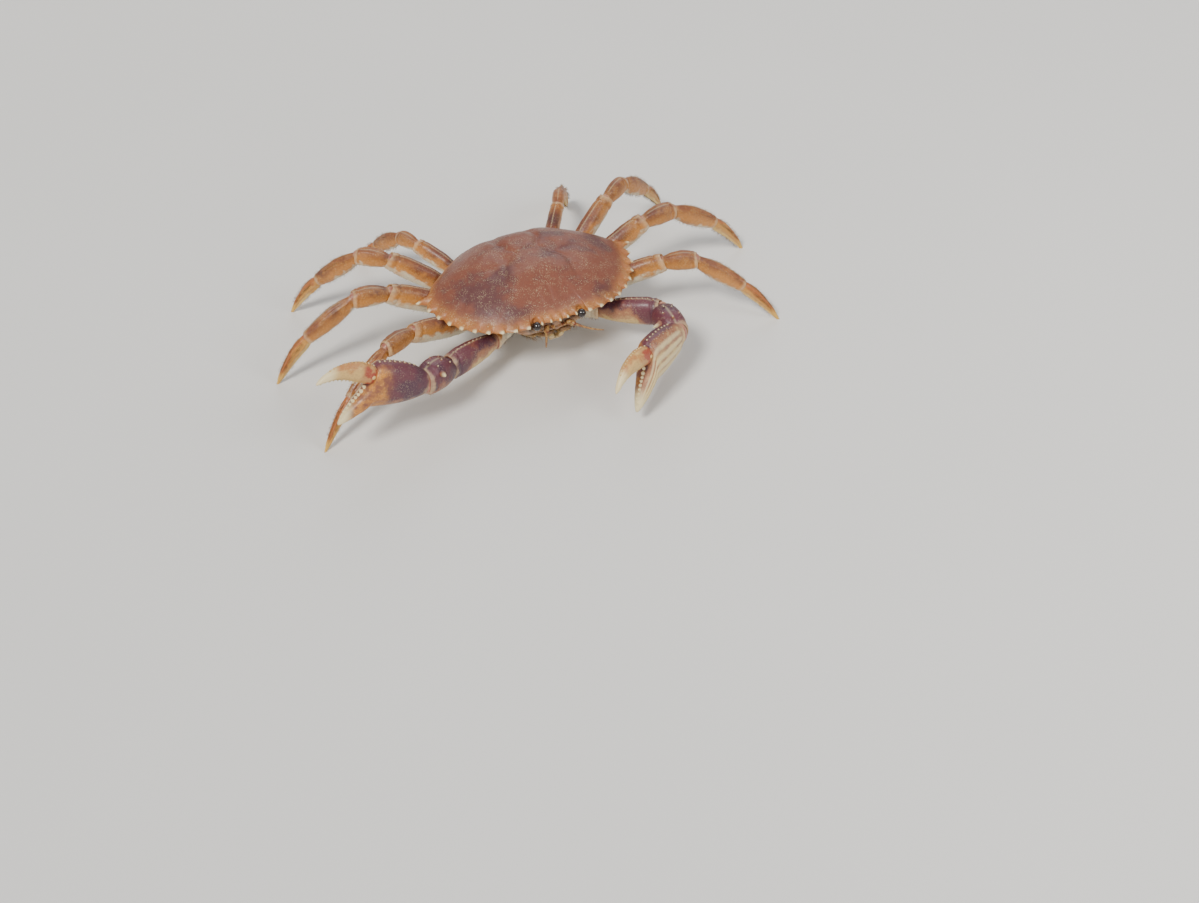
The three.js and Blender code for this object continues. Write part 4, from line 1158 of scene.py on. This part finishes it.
def cupped(rings, depth, thick):
    """Closes the far end of a segment as a socket: a rounded lip, then a cup that the next one fills."""
    end = rings[-1]
    middle = end.mean(0)
    along = middle - rings[-3].mean(0)
    along /= np.linalg.norm(along)
    size = np.linalg.norm(end - middle, axis=1).mean()
    lips = [(0.18, 0.2), (0.15, 0.5), (-0.1, 0.75), (-depth * 0.5, 0.95), (-depth, 1.7)]
    extra = [
        middle + (end - middle) * (1 - inward * thick / size) + forward * along for forward, inward in lips
    ]
    return np.concatenate([rings, np.array(extra)])


def with_marks(segment, rings, angle, count_extra):
    """The colour marks of a segment: which way each point faces, how worn, how near a joint, and painted
    shade between the raised bands of a palm.
    """
    share = np.clip(rings[..., 0] / segment.length, 0, 1)
    if count_extra:
        angle = np.concatenate([angle, np.repeat(angle[-1:], count_extra, 0)])
    joint = segment.joint
    up = np.sin(angle)
    face = np.cos(angle) * segment.side
    sides = 1 - np.abs(up)
    ridge = limb_ridge(segment, share, angle)
    along, tip, warm = share, 0 * share, 0 * share
    back = up
    if joint == "hip":
        back = up - 0.75
        warm = 0.45 * ease(0.4, 0.9, share)
    elif joint == "merus" and segment.on_claw:
        back = 0.8 * up - 0.15 + 1.1 * ease(0.55, 0.85, share)
    elif joint == "merus":
        back = up - 0.2
        warm = 0.5 * ease(0.55, 0.95, share) + 0.4 * sides
    elif joint == "carpus" and segment.on_claw:
        back = 0.35 - 0.25 * face + 0.75 * up
    elif joint in ("carpus", "propodus"):
        back = 0.72 * up + (0.3 if joint == "propodus" else 0.16)
        warm = 0.35 + 0.4 * sides
    elif joint == "dactyl":
        along = 0.5
        tip = ease(0.55, 1.0, share)
    elif joint == "palm":
        warm = ease(0.38, 0.52, share) * (1 - ease(0.6, 0.72, share)) * ease(0.1, 0.7, -face)
        warm = np.maximum(warm, 0.9 * ease(0.6, 0.68, share) * ease(-0.5, 0.1, -face))
        # The outer face is darker between its raised bands: painted shade in the grooves between the bands.
        line = np.sqrt(1 - np.clip(ridge * 1.5, 0, 1))
        line = line * ease(0.15, 0.6, face) * ease(0.0, 0.12, share) * (1 - ease(0.66, 0.8, share))
        back = (0.1 - 0.85 * face + 0.8 * up) * (1 - line) + 0.05 * line
        tip = 0.9 * ease(0.64, 0.86, share)
        along = np.minimum(share, 0.5)
    elif joint == "finger":
        back = 0.55 * up
        warm = 1.8 * ease(0.3, 0.7, np.abs(face)) * (1 - ease(0.1, 0.32, share))
        tip = ease(0.45, 0.98, share)
        along = 0.5
    return {"along": along, "back": back, "tip": tip, "ridge": ridge, "warm": warm}


def edge_of(segment, upper):
    """Height of a segment's upper or lower edge at x, in its own frame."""
    table = np.array(segment.stations())

    def at(x):
        high, _, lift = sizes_at(table, np.array([x]))
        return lift[0] + (high[0] if upper else -high[0]) * 0.97

    return at


def palm_spines(skin, palm):
    """The crest spines, the granules beside them and the biting teeth of a palm."""
    top = edge_of(palm, True)
    size = palm.length
    where = {"turn": palm.turn, "origin": palm.origin}
    for x in np.linspace(0.14 * size, 0.57 * size, 9):
        skin.spike((x, 0, top(x)), (0.45, 0, 1), 1.35, 2.3, flat=0.85, bend=0.5, mark=0.9, **where)
    for row, lean in ((0.75, 0.42), (0.6, 0.8)):
        for k, share in enumerate(np.linspace(0.17, 0.55, 12)):
            high = row * (1 + 0.3 * math.sin(4.1 * k + lean))
            around = math.pi / 2 - palm.side * (lean + 0.07 * math.sin(2.7 * k))
            root, way = palm.spot(share + 0.006 * math.sin(3.3 * k), around)
            skin.spike(root, way + [0.3, 0, 0], 0.7 * high + 0.2, high, mark=0.7, rows=4, sides=6, **where)
    for i, x in enumerate(np.linspace(0.635 * size, 0.825 * size, 9)):
        big = (2.0 if i % 3 == 1 else 1.7) * (1 - 0.4 * i / 8)
        root = (x + 0.25, 0, top(x) + 0.2)
        skin.spike(root, (0.8, 0, 0.6), big, 1.3 * big, flat=0.85, white=0.85, rows=8, sides=12, **where)


def finger_spines(skin, finger):
    """The crest spines, the biting teeth and the hinge knobs of a moving finger."""
    top, bite = edge_of(finger, True), edge_of(finger, False)
    size = finger.length
    where = {"turn": finger.turn, "origin": finger.origin}
    for x in np.linspace(0.1 * size, 0.8 * size, 12):
        radius = 1.15 * (1.1 - 0.5 * x / size)
        high = 1.9 * (1.1 - 0.4 * x / size)
        skin.spike((x, 0, top(x)), (0.5, 0, 1), radius, high, flat=0.85, bend=0.4, mark=0.8, **where)
    for i, x in enumerate(np.linspace(0.24 * size, 0.92 * size, 10)):
        big = (1.9 if i % 3 == 1 else 1.55) * (1 - 0.4 * i / 9)
        root = (x, 0, bite(x))
        skin.spike(root, (0.1, 0, -1), big, 1.25 * big, flat=0.85, white=0.85, rows=8, sides=12, **where)
    for angle in (0.0, math.pi):
        root, way = finger.spot(0.03, angle)
        skin.knob(root - 0.3 * way, way, 1.5, 0.9, **where)


def small_spines(skin, segment):
    """Granules and short spines along the crests of the arms and legs."""
    where = {"turn": segment.turn, "origin": segment.origin}
    crest = math.pi / 2
    if segment.on_claw and segment.joint == "carpus":
        inner = -segment.side
        root = (0.72 * segment.length, inner * 9.4, 6.5)
        skin.spike(
            root, (0.5, inner, 0.25), 3.1, 7.4, across=(0, 0, 1), sides=14, rows=9, bend=-0.8, **where,
        )
        for k, spot in enumerate(CLAW_CARPUS_SPINES):
            skin.spike(*segment.spot(*spot), 1.1, 1.2 + 0.1 * k, mark=0.8, **where)
    if segment.on_claw and segment.joint == "merus":
        for share in np.linspace(0.3, 0.92, 8):
            root, way = segment.spot(share, crest)
            skin.spike(root, way + [0.35, 0, 0], 0.95, 1.3, mark=0.8, **where)
    if segment.joint == "merus" and not segment.on_claw:
        for share in np.linspace(0.25, 0.93, 12):
            root, way = segment.spot(share, crest)
            skin.spike(root, way + [0.5, 0, 0], 0.6, 0.75, mark=0.7, rows=4, sides=6, **where)


def nearness(segment, points):
    """How near points in the frame are to the skin of a segment: 1 on it, less inside and more outside."""
    table = np.array(segment.stations())
    local = (points - segment.origin) @ segment.turn
    x = np.clip(local[..., 0], table[0, 0], table[-1, 0])
    high, wide, lift = sizes_at(table, x)
    n = segment.fullness
    around = (np.abs(local[..., 1] / wide) ** n + np.abs((local[..., 2] - lift) / high) ** n) ** (1 / n)
    return around + np.abs(local[..., 0] - x) / segment.height


def limb_piece(segment, after=None):
    """One shell of a limb with its relief, socket and spines. After is the finger that a palm carries."""
    count, sides = LIMB_POINTS[segment.joint]
    rings, angle = rings_of(
        segment.stations(-0.1), count, sides, segment.fullness, limb_relief(segment), crowd=0.3,
        length=segment.length,
    )
    away = ways_out(rings)
    flat = rings.reshape(-1, 3)
    lumps = 0.07 * grain(flat + segment.origin, 1.3, 6) + 0.14 * grain(flat + segment.origin, 3.6, 7)
    rings = rings + away * lumps.reshape(rings.shape[:2])[..., None]
    extra = 0
    if segment.socketed:
        end = ease(0.84, 1.03, rings[..., 0] / segment.length)
        notch = 0.9 * ease(0.55, 1, np.abs(np.sin(angle))) - 0.25 * bump(np.cos(angle) ** 2 - 1, 0.2)
        rings[..., 0] -= end * notch * segment.height / 16
        knuckle = bump(np.abs(np.cos(angle)) - 1, 0.06) * bump(rings[..., 0] / segment.length - 0.985, 0.045)
        rings[..., 1] += 0.5 * knuckle * np.sign(np.cos(angle))
        rings = cupped(rings, 2.4, 1.0)
        extra = len(rings) - count
    if segment.joint == "palm":
        seam = bump(nearness(after, rings @ segment.turn.T + segment.origin) - 1.04, 0.1)
        rings = rings - 1.1 * seam[..., None] * away
    skin = Skin()
    skin.tube(rings, segment.turn, segment.origin, **with_marks(segment, rings, angle, extra))
    {"palm": palm_spines, "finger": finger_spines}.get(segment.joint, small_spines)(skin, segment)
    return skin


def foot_flat(piece):
    """Brings the very tip of a leg onto the floor."""
    mesh = piece.data
    points = np.empty(len(mesh.vertices) * 3)
    mesh.vertices.foreach_get("co", points)
    points = points.reshape(-1, 3)
    points[:, 2] = np.maximum(points[:, 2], 0.0)
    mesh.vertices.foreach_set("co", points.ravel())
    mesh.update()


def joint_skins(limb):
    """The soft wet membranes that close the joints of a limb."""

    def folds(share, angle):
        return 0.22 * np.sin(share * 30)

    skin = Skin()
    for before, after in zip(limb, limb[1:]):
        if before.joint == "palm":
            continue
        form = np.array(after.stations())
        near, far = form[0, 0], form[2, 0]
        rows = []
        for x, fat in ((near, 1.2), (0.55 * near, 0.9), (0.1 * near, 0.4), (0.3 * far, -0.3)):
            high, wide, _ = sizes_at(form, np.array([x]))
            rows.append((x, high[0] + fat, wide[0] + fat, 0))
        rings, _ = rings_of(rows, 24, 40, 2.3, folds)
        skin.tube(rings, after.turn, after.origin, along=0.5)
    return skin


# Bristles

BRISTLE_SIDES = 3
# Share of a bristle's length and of its thickness, from its sunk root to its tip
BRISTLE_ROWS = ((-0.15, 1.0), (0.35, 0.85), (0.72, 0.5), (1.0, 0.12))
PATCH_SIZE = 0.003  # of each bristle in the OFBake map
# Rows of bristles: angle round the segment, shares that they run between, spread and thickness of growth
LEG_BRISTLES = {
    "propodus": [
        (-1.57, 0.1, 0.96, 0.16, 1.3), (1.57, 0.2, 0.96, 0.12, 0.8), (0.75, 0.3, 0.95, 0.06, 0.5),
        (2.4, 0.3, 0.95, 0.06, 0.5),
    ],
    "dactyl": [
        (-1.57, 0.08, 0.8, 0.14, 1.4), (1.57, 0.08, 0.75, 0.14, 1.2), (0.5, 0.1, 0.7, 0.1, 0.9),
        (2.6, 0.1, 0.7, 0.1, 0.9),
    ],
    "carpus": [(-1.57, 0.3, 1.0, 0.3, 0.5)],
    "merus": [(-1.57, 0.15, 0.95, 0.2, 0.6)],
    "hip": [(-1.2, 0.1, 0.95, 0.5, 1.0), (-2.0, 0.1, 0.95, 0.4, 1.0)],
}


def bristles(name, roots, ways, length, radius, seed, droop=0.25):
    """Curved tapering bristles as one joined mesh, with a patch of the OFBake map for each."""
    rng = np.random.default_rng(seed)
    n = len(roots)
    ways = unit(ways + rng.normal(0, 0.22, (n, 3)))
    long = length * rng.uniform(0.6, 1.15, n)
    side = unit(np.cross(ways, [0.3, 0.2, 1.0]))
    other = np.cross(ways, side)
    bow = side * rng.normal(0, 0.22, (n, 1)) + np.array([0, 0, -droop])
    points = []
    for t, girth in BRISTLE_ROWS:
        middle = roots + ways * (t * long)[:, None] + bow * (max(t, 0) ** 2 * long)[:, None]
        for k in range(BRISTLE_SIDES):
            a = k * TAU / BRISTLE_SIDES
            points.append(middle + girth * radius * (math.cos(a) * side + math.sin(a) * other))
    points = np.stack(points, 1).reshape(-1, 3)
    each = len(BRISTLE_ROWS) * BRISTLE_SIDES
    quads = []
    for row in range(0, each - BRISTLE_SIDES, BRISTLE_SIDES):
        for k in range(BRISTLE_SIDES):
            beside = (k + 1) % BRISTLE_SIDES
            quads.append([row + k, row + beside, row + BRISTLE_SIDES + beside, row + BRISTLE_SIDES + k])
    faces = (np.array(quads)[None] + (np.arange(n) * each)[:, None, None]).reshape(-1, 4)
    piece = new_piece(name, points, [faces], finish("bristle"))
    across = math.ceil(math.sqrt(n))
    patch = np.stack([np.arange(n) % across, np.arange(n) // across], -1) / across * 0.99
    local = points - np.repeat(roots, each, 0)
    shape = 0.5 + 0.5 * local[:, :2] / (np.abs(local[:, :2]).max() + TINY)
    uv = np.repeat(patch, each, 0) + PATCH_SIZE * shape
    bake = piece.data.uv_layers.new(name="OFBake")
    bake.data.foreach_set("uv", uv[faces.ravel()].ravel().astype(np.float32))


def leg_bristle_roots(legs, density):
    """Roots and ways out of the bristles along the edges and grooves of the outer leg segments."""
    rng = np.random.default_rng(11)
    roots, ways = [], []
    for leg in legs:
        for segment in leg:
            for angle, low, high, spread, thick in LEG_BRISTLES.get(segment.joint, []):
                n = int(thick * density * segment.length)
                share = rng.uniform(low, high, n)
                around = rng.normal(angle, spread, n)
                place, way = segment.skin(share, around, -0.15)
                roots.append(place)
                ways.append(way + 0.55 * segment.turn[:, 0])
    return np.concatenate(roots), np.concatenate(ways)


def mouth_bristle_roots():
    """Roots of the bristles along the mouth plates and round the feet of the feelers."""
    rng = np.random.default_rng(5)
    roots, ways = [], []
    for side in SIDES:
        turn, root = mouth_frame(side)
        # Rows along the plate: how far they lie aside, and how many bristles they have
        for line, n in ((-5.6, 130), (5.4, 60), (9.6, 90)):
            x = rng.uniform(1, 36, n)
            y = side * line + rng.normal(0, 0.3, n)
            z = rng.normal(-1.4, 0.5, n)
            roots.append(np.stack([x, y, z], -1) @ turn.T + root)
            lean = np.array([0.6, -side * 0.4 * np.sign(line + 6), -0.8])
            ways.append(np.tile(lean @ turn.T, (n, 1)))
        n = 160
        x = rng.uniform(3, 21, n) * side
        spot = np.stack([x, FRONT_Y + 4 + rng.uniform(0, 4, n), rng.uniform(-5, -1, n)], -1)
        roots.append(spot + BODY)
        ways.append(np.stack([0.1 * side * np.ones(n), -np.ones(n), -0.25 * np.ones(n)], -1))
    return np.concatenate(roots), np.concatenate(ways)


def margin_bristle_roots(count=1500):
    """Roots of the short down under the front edge of the back."""
    rng = np.random.default_rng(8)
    edge, _ = half_edge(700)
    front = 430  # points from the middle of the brow to behind the last side tooth
    roots, ways = [], []
    for side in SIDES:
        pick = edge[rng.integers(0, front, count)]
        s = rng.uniform(0.88, 0.975, count)
        x = s * pick[:, 0] * side
        y = s * (pick[:, 1] - DOME_Y) + DOME_Y
        z = edge_height(y) * s + belly_height(s)
        roots.append(np.stack([x, y, z + 0.1], -1) + BODY)
        out = unit(np.stack([pick[:, 0] * side, pick[:, 1], np.zeros(count)], -1))
        ways.append(0.8 * out + [0, 0, -0.75])
    return np.concatenate(roots), np.concatenate(ways)


# The add-on: settings, operators and panel


class CrabSizes(bpy.types.PropertyGroup):
    bristle_length: FloatProperty(
        name="Bristle Length", description="Length of the bristles on the legs", default=2.4 * MM,
        unit="LENGTH",
    )
    bristle_radius: FloatProperty(
        name="Bristle Radius", description="Thickness of a bristle at its root", default=0.07 * MM,
        unit="LENGTH",
    )
    bristle_density: FloatProperty(
        name="Bristle Density", description="Bristles to each millimetre of a leg edge", default=2.4,
        min=0.0,
    )
    carapace_points: IntProperty(
        name="Carapace Points", description="Points round the edge of the back", default=720, min=200,
    )


def swatch(label, code):
    """A colour that a user can change, from its sRGB hex code."""
    return FloatVectorProperty(
        name=label, description=f"{label} of the crab", subtype="COLOR", default=linear(code), min=0, max=1,
    )


class CrabColours(bpy.types.PropertyGroup):
    back: swatch("Back", "#7a422e")
    back_stain: swatch("Patches of the back", "#532c2e")
    back_flank: swatch("Side of the back", "#a9683f")
    margin: swatch("Margin of the back", "#b8835a")
    amber: swatch("Amber patches", "#cd8732")
    cream: swatch("Cream shell", "#e0cfa0")
    tooth: swatch("Teeth", "#e8d4a2")
    under: swatch("Breast", "#8f877c")
    under_warm: swatch("Warm patches of the breast", "#a27f6a")
    apron_edge: swatch("Edge of the apron", "#7d5a38")
    ochre: swatch("Ochre shell", "#b18c52")
    mouth: swatch("Mouth plates", "#cdb27c")
    leg_top: swatch("Leg above", "#6e3724")
    leg_stain: swatch("Patches of the leg", "#452428")
    leg_flank: swatch("Leg side", "#b8793a")
    leg_under: swatch("Leg below", "#dcd3b4")
    joint: swatch("Joint rim", "#d2b083")
    joint_red: swatch("Joint of the claw finger", "#a3432c")
    membrane: swatch("Joint membrane", "#9c5b4c")
    membrane_pale: swatch("Pale joint membrane", "#b88468")
    tip_top: swatch("Leg tip above", "#a8602a")
    tip_flank: swatch("Leg tip side", "#c38b3e")
    tip_under: swatch("Leg tip below", "#d9b468")
    horn: swatch("Horny tip", "#d1a348")
    claw_top: swatch("Claw above", "#64303a")
    claw_stain: swatch("Patches of the claw", "#472539")
    claw_flank: swatch("Claw side", "#a06a48")
    claw_under: swatch("Claw below", "#cfae70")
    finger_top: swatch("Claw finger above", "#b9793f")
    finger: swatch("Claw finger", "#d2aa66")
    eye: swatch("Eye", "#120d0c")
    eye_sheen: swatch("Eye sheen", "#2c1c16")
    bristle: swatch("Bristles", "#6e4a26")
    bristle_pale: swatch("Bristle ends", "#a98652")


class CRAB_OT_carapace(bpy.types.Operator):
    """Build the domed back with its teeth, lobes and grooves"""

    bl_idname = "crab.carapace"
    bl_label = "Carapace"

    def execute(self, context):
        skin = carapace(context.scene.crab_sizes.carapace_points)
        skin.build("carapace_shell", "back_shell", finish("back"), ["carapace"])
        return {"FINISHED"}


class CRAB_OT_underside(bpy.types.Operator):
    """Build the breast and the folded apron"""

    bl_idname = "crab.underside"
    bl_label = "Underside"

    def execute(self, context):
        thorax().build("breast_shell", "under_shell", finish("under"), ["thorax"])
        apron().build("apron_rings", "apron_shell", finish("apron"), ["apron"])
        return {"FINISHED"}


class CRAB_OT_face(bpy.types.Operator):
    """Build the mouth plates, the eyes and the feelers"""

    bl_idname = "crab.face"
    bl_label = "Face"

    def execute(self, context):
        for side, word in SIDES.items():
            plate = f"mouth_plate_{word}"
            mouth_plate(side).build(f"{plate}_shell", "mouth_shell", finish("mouth"), [plate])
            stalk, ball = eye_skins(side)
            stalk.build(f"eye_{word}_stalk", "feeler_shell", finish("feeler"))
            ball.build(f"eye_{word}_ball", "eye_surface", finish("eye"), [f"eye_{word}"])
            feeler(side).build(f"feeler_{word}_rings", "feeler_shell", finish("feeler"), [f"feeler_{word}"])
        return {"FINISHED"}


class CRAB_OT_claws(bpy.types.Operator):
    """Build both claw arms"""

    bl_idname = "crab.claws"
    bl_label = "Claws"

    def execute(self, context):
        finishes = {"hip": ("leg_shell", "leg"), "finger": ("claw_finger", "finger")}
        for limb in CLAW_ARMS:
            for segment in limb:
                slot, key = finishes.get(segment.joint, ("claw_shell", "claw"))
                skin = limb_piece(segment, limb[-1])
                skin.build(f"{segment.name}_shell", slot, finish(key), [segment.name])
        return {"FINISHED"}


class CRAB_OT_legs(bpy.types.Operator):
    """Build the walking legs"""

    bl_idname = "crab.legs"
    bl_label = "Walking Legs"

    def execute(self, context):
        for limb in WALKING_LEGS:
            for segment in limb:
                tip = segment.joint == "dactyl"
                slot, key = ("leg_tip", "leg_tip") if tip else ("leg_shell", "leg")
                piece = limb_piece(segment).build(f"{segment.name}_shell", slot, finish(key), [segment.name])
                if tip:
                    foot_flat(piece)
        return {"FINISHED"}


class CRAB_OT_joints(bpy.types.Operator):
    """Build the membranes in the joints"""

    bl_idname = "crab.joints"
    bl_label = "Joint Membranes"

    def execute(self, context):
        for limb in LIMBS:
            name = limb[0].name.removesuffix("_hip")
            joint_skins(limb).build(f"{name}_joint_skin", "leg_shell", finish("joint"))
        return {"FINISHED"}


class CRAB_OT_bristles(bpy.types.Operator):
    """Build the bristles of the legs, the mouth and the edge of the back"""

    bl_idname = "crab.bristles"
    bl_label = "Bristles"

    def execute(self, context):
        sizes = context.scene.crab_sizes
        length, radius = sizes.bristle_length / MM, sizes.bristle_radius / MM
        for side, word in SIDES.items():
            legs = [limb for limb in LIMBS if limb[0].side == side]
            roots, ways = leg_bristle_roots(legs, sizes.bristle_density)
            bristles(f"leg_bristles_{word}", roots, ways, length, radius, 21 + side, droop=0.1)
        bristles("mouth_bristles", *mouth_bristle_roots(), 3.2, 0.09, 31)
        bristles("margin_bristles", *margin_bristle_roots(), 1.5, 0.06, 41)
        return {"FINISHED"}


class CRAB_OT_stage(bpy.types.Operator):
    """Build the floor, the lights and the camera"""

    bl_idname = "crab.stage"
    bl_label = "Stage"

    def execute(self, context):
        build_stage(context.scene)
        return {"FINISHED"}


def new_lamp(name, kind, power, colour, turn, **settings):
    """A light of a kind, turned by a quaternion."""
    light = bpy.data.lights.new(name, kind)
    light.energy = power
    light.color = colour
    for key, value in settings.items():
        setattr(light, key, value)
    lamp = bpy.data.objects.new(name, light)
    lamp.rotation_mode = "QUATERNION"
    lamp.rotation_quaternion = turn
    bpy.context.scene.collection.objects.link(lamp)
    return lamp


def softbox(name, way, power, spread, colour):
    """An even, soft light from one way over the whole floor, with its spread in degrees."""
    turn = Vector(way).to_track_quat("Z", "Y")
    new_lamp(name, "SUN", power, colour, turn, angle=math.radians(spread))


FRAME_PIXELS = (1199, 903)  # the size of the photograph
CRAB_PIXEL = (530, 288)  # the middle of the crab in the photograph
MM_PER_PIXEL = 0.74  # in the photograph, at the crab
VIEW_AZIMUTH, VIEW_ELEVATION = -25.0, 45.0
VIEW_DISTANCE = 1300.0
SENSOR_WIDTH = 36.0  # millimetres, as in a full frame camera
FLOOR_REACH = 40.0  # metres, so that its far edge lies at the horizon


def floor_material():
    """Matt studio paper: rough and almost even, with a faint drift over its width."""
    material, tree, shader = new_material("matt pale studio paper", Roughness=0.85)
    place = add(tree, "TexCoord").outputs["Object"]
    drift = add(tree, "TexNoise", {"Vector": place, "Scale": 1 / (300 * MM)}).outputs[0]
    colour = mix(tree, drift, rgba(linear("#dcdad6")), rgba(linear("#e2e0dc")))
    tree.links.new(colour, shader.inputs["Base Color"])
    return material


def build_stage(scene):
    """A pale floor, soft studio light and a camera that frames the crab as the photograph does."""
    low, high = (Vector(corner) for corner in CAD_BOUNDS)
    centre = (low + high) / 2
    mesh = bpy.data.meshes.new("studio_floor")
    r = FLOOR_REACH
    mesh.from_pydata([(-r, -r, 0), (r, -r, 0), (r, r, 0), (-r, r, 0)], [], [(0, 1, 2, 3)])
    floor = bpy.data.objects.new("studio_floor", mesh)
    scene.collection.objects.link(floor)
    mesh.materials.append(floor_material())

    world = scene.world or bpy.data.worlds.new("studio")
    scene.world = world
    world.use_nodes = True
    sky = world.node_tree.nodes["Background"]
    sky.inputs[0].default_value = (0.93, 0.96, 1.0, 1)
    sky.inputs[1].default_value = 0.52
    softbox("high_softbox", (-0.75, -0.5, 1.15), 3.0, 14, (1.0, 0.97, 0.92))
    softbox("back_softbox", (0.5, 0.9, 0.8), 0.6, 40, (0.94, 0.97, 1.0))
    place = Vector((0.7, -0.9, 0.9))
    turn = (centre - place).to_track_quat("-Z", "Y")
    strip = new_lamp("strip_light", "AREA", 6, (1.0, 1.0, 1.0), turn, shape="SQUARE", size=0.6)
    strip.location = place

    azimuth, elevation = math.radians(VIEW_AZIMUTH), math.radians(VIEW_ELEVATION)
    back = Vector((
        math.sin(azimuth) * math.cos(elevation),
        -math.cos(azimuth) * math.cos(elevation),
        math.sin(elevation),
    ))
    right = Vector((math.cos(azimuth), math.sin(azimuth), 0))
    up = back.cross(right)
    aside = (FRAME_PIXELS[0] / 2 - CRAB_PIXEL[0]) * MM_PER_PIXEL * MM
    below = (FRAME_PIXELS[1] / 2 - CRAB_PIXEL[1]) * MM_PER_PIXEL * MM
    camera = bpy.data.cameras.new("camera")
    camera.sensor_width = SENSOR_WIDTH
    camera.lens = SENSOR_WIDTH * VIEW_DISTANCE / (FRAME_PIXELS[0] * MM_PER_PIXEL)
    camera.clip_end = 100
    eye = bpy.data.objects.new("camera", camera)
    eye.location = centre + back * VIEW_DISTANCE * MM + right * aside - up * below
    eye.rotation_mode = "QUATERNION"
    eye.rotation_quaternion = (-back).to_track_quat("-Z", "Y")
    scene.collection.objects.link(eye)
    scene.camera = eye


OPERATORS = (
    CRAB_OT_carapace, CRAB_OT_underside, CRAB_OT_face, CRAB_OT_claws, CRAB_OT_legs, CRAB_OT_joints,
    CRAB_OT_bristles, CRAB_OT_stage,
)


class CRAB_PT_panel(bpy.types.Panel):
    """Lists the crab's settings and pieces"""

    bl_idname = "CRAB_PT_panel"
    bl_label = "Dungeness Crab"
    bl_space_type = "VIEW_3D"
    bl_region_type = "UI"
    bl_category = "Crab"

    def draw(self, context):
        scene = context.scene
        for group in (scene.crab_sizes, scene.crab_colours):
            for name in group.__annotations__:
                self.layout.prop(group, name)
        for operator in OPERATORS:
            self.layout.operator(operator.bl_idname)


CLASSES = (CrabSizes, CrabColours, *OPERATORS, CRAB_PT_panel)


def register():
    for cls in CLASSES:
        bpy.utils.register_class(cls)
    bpy.types.Scene.crab_sizes = PointerProperty(type=CrabSizes)
    bpy.types.Scene.crab_colours = PointerProperty(type=CrabColours)


def unregister():
    del bpy.types.Scene.crab_colours
    del bpy.types.Scene.crab_sizes
    for cls in reversed(CLASSES):
        bpy.utils.unregister_class(cls)


def main():
    register()
    for operator in OPERATORS:
        group, name = operator.bl_idname.split(".")
        getattr(getattr(bpy.ops, group), name)()


if __name__ == "__main__":
    main()
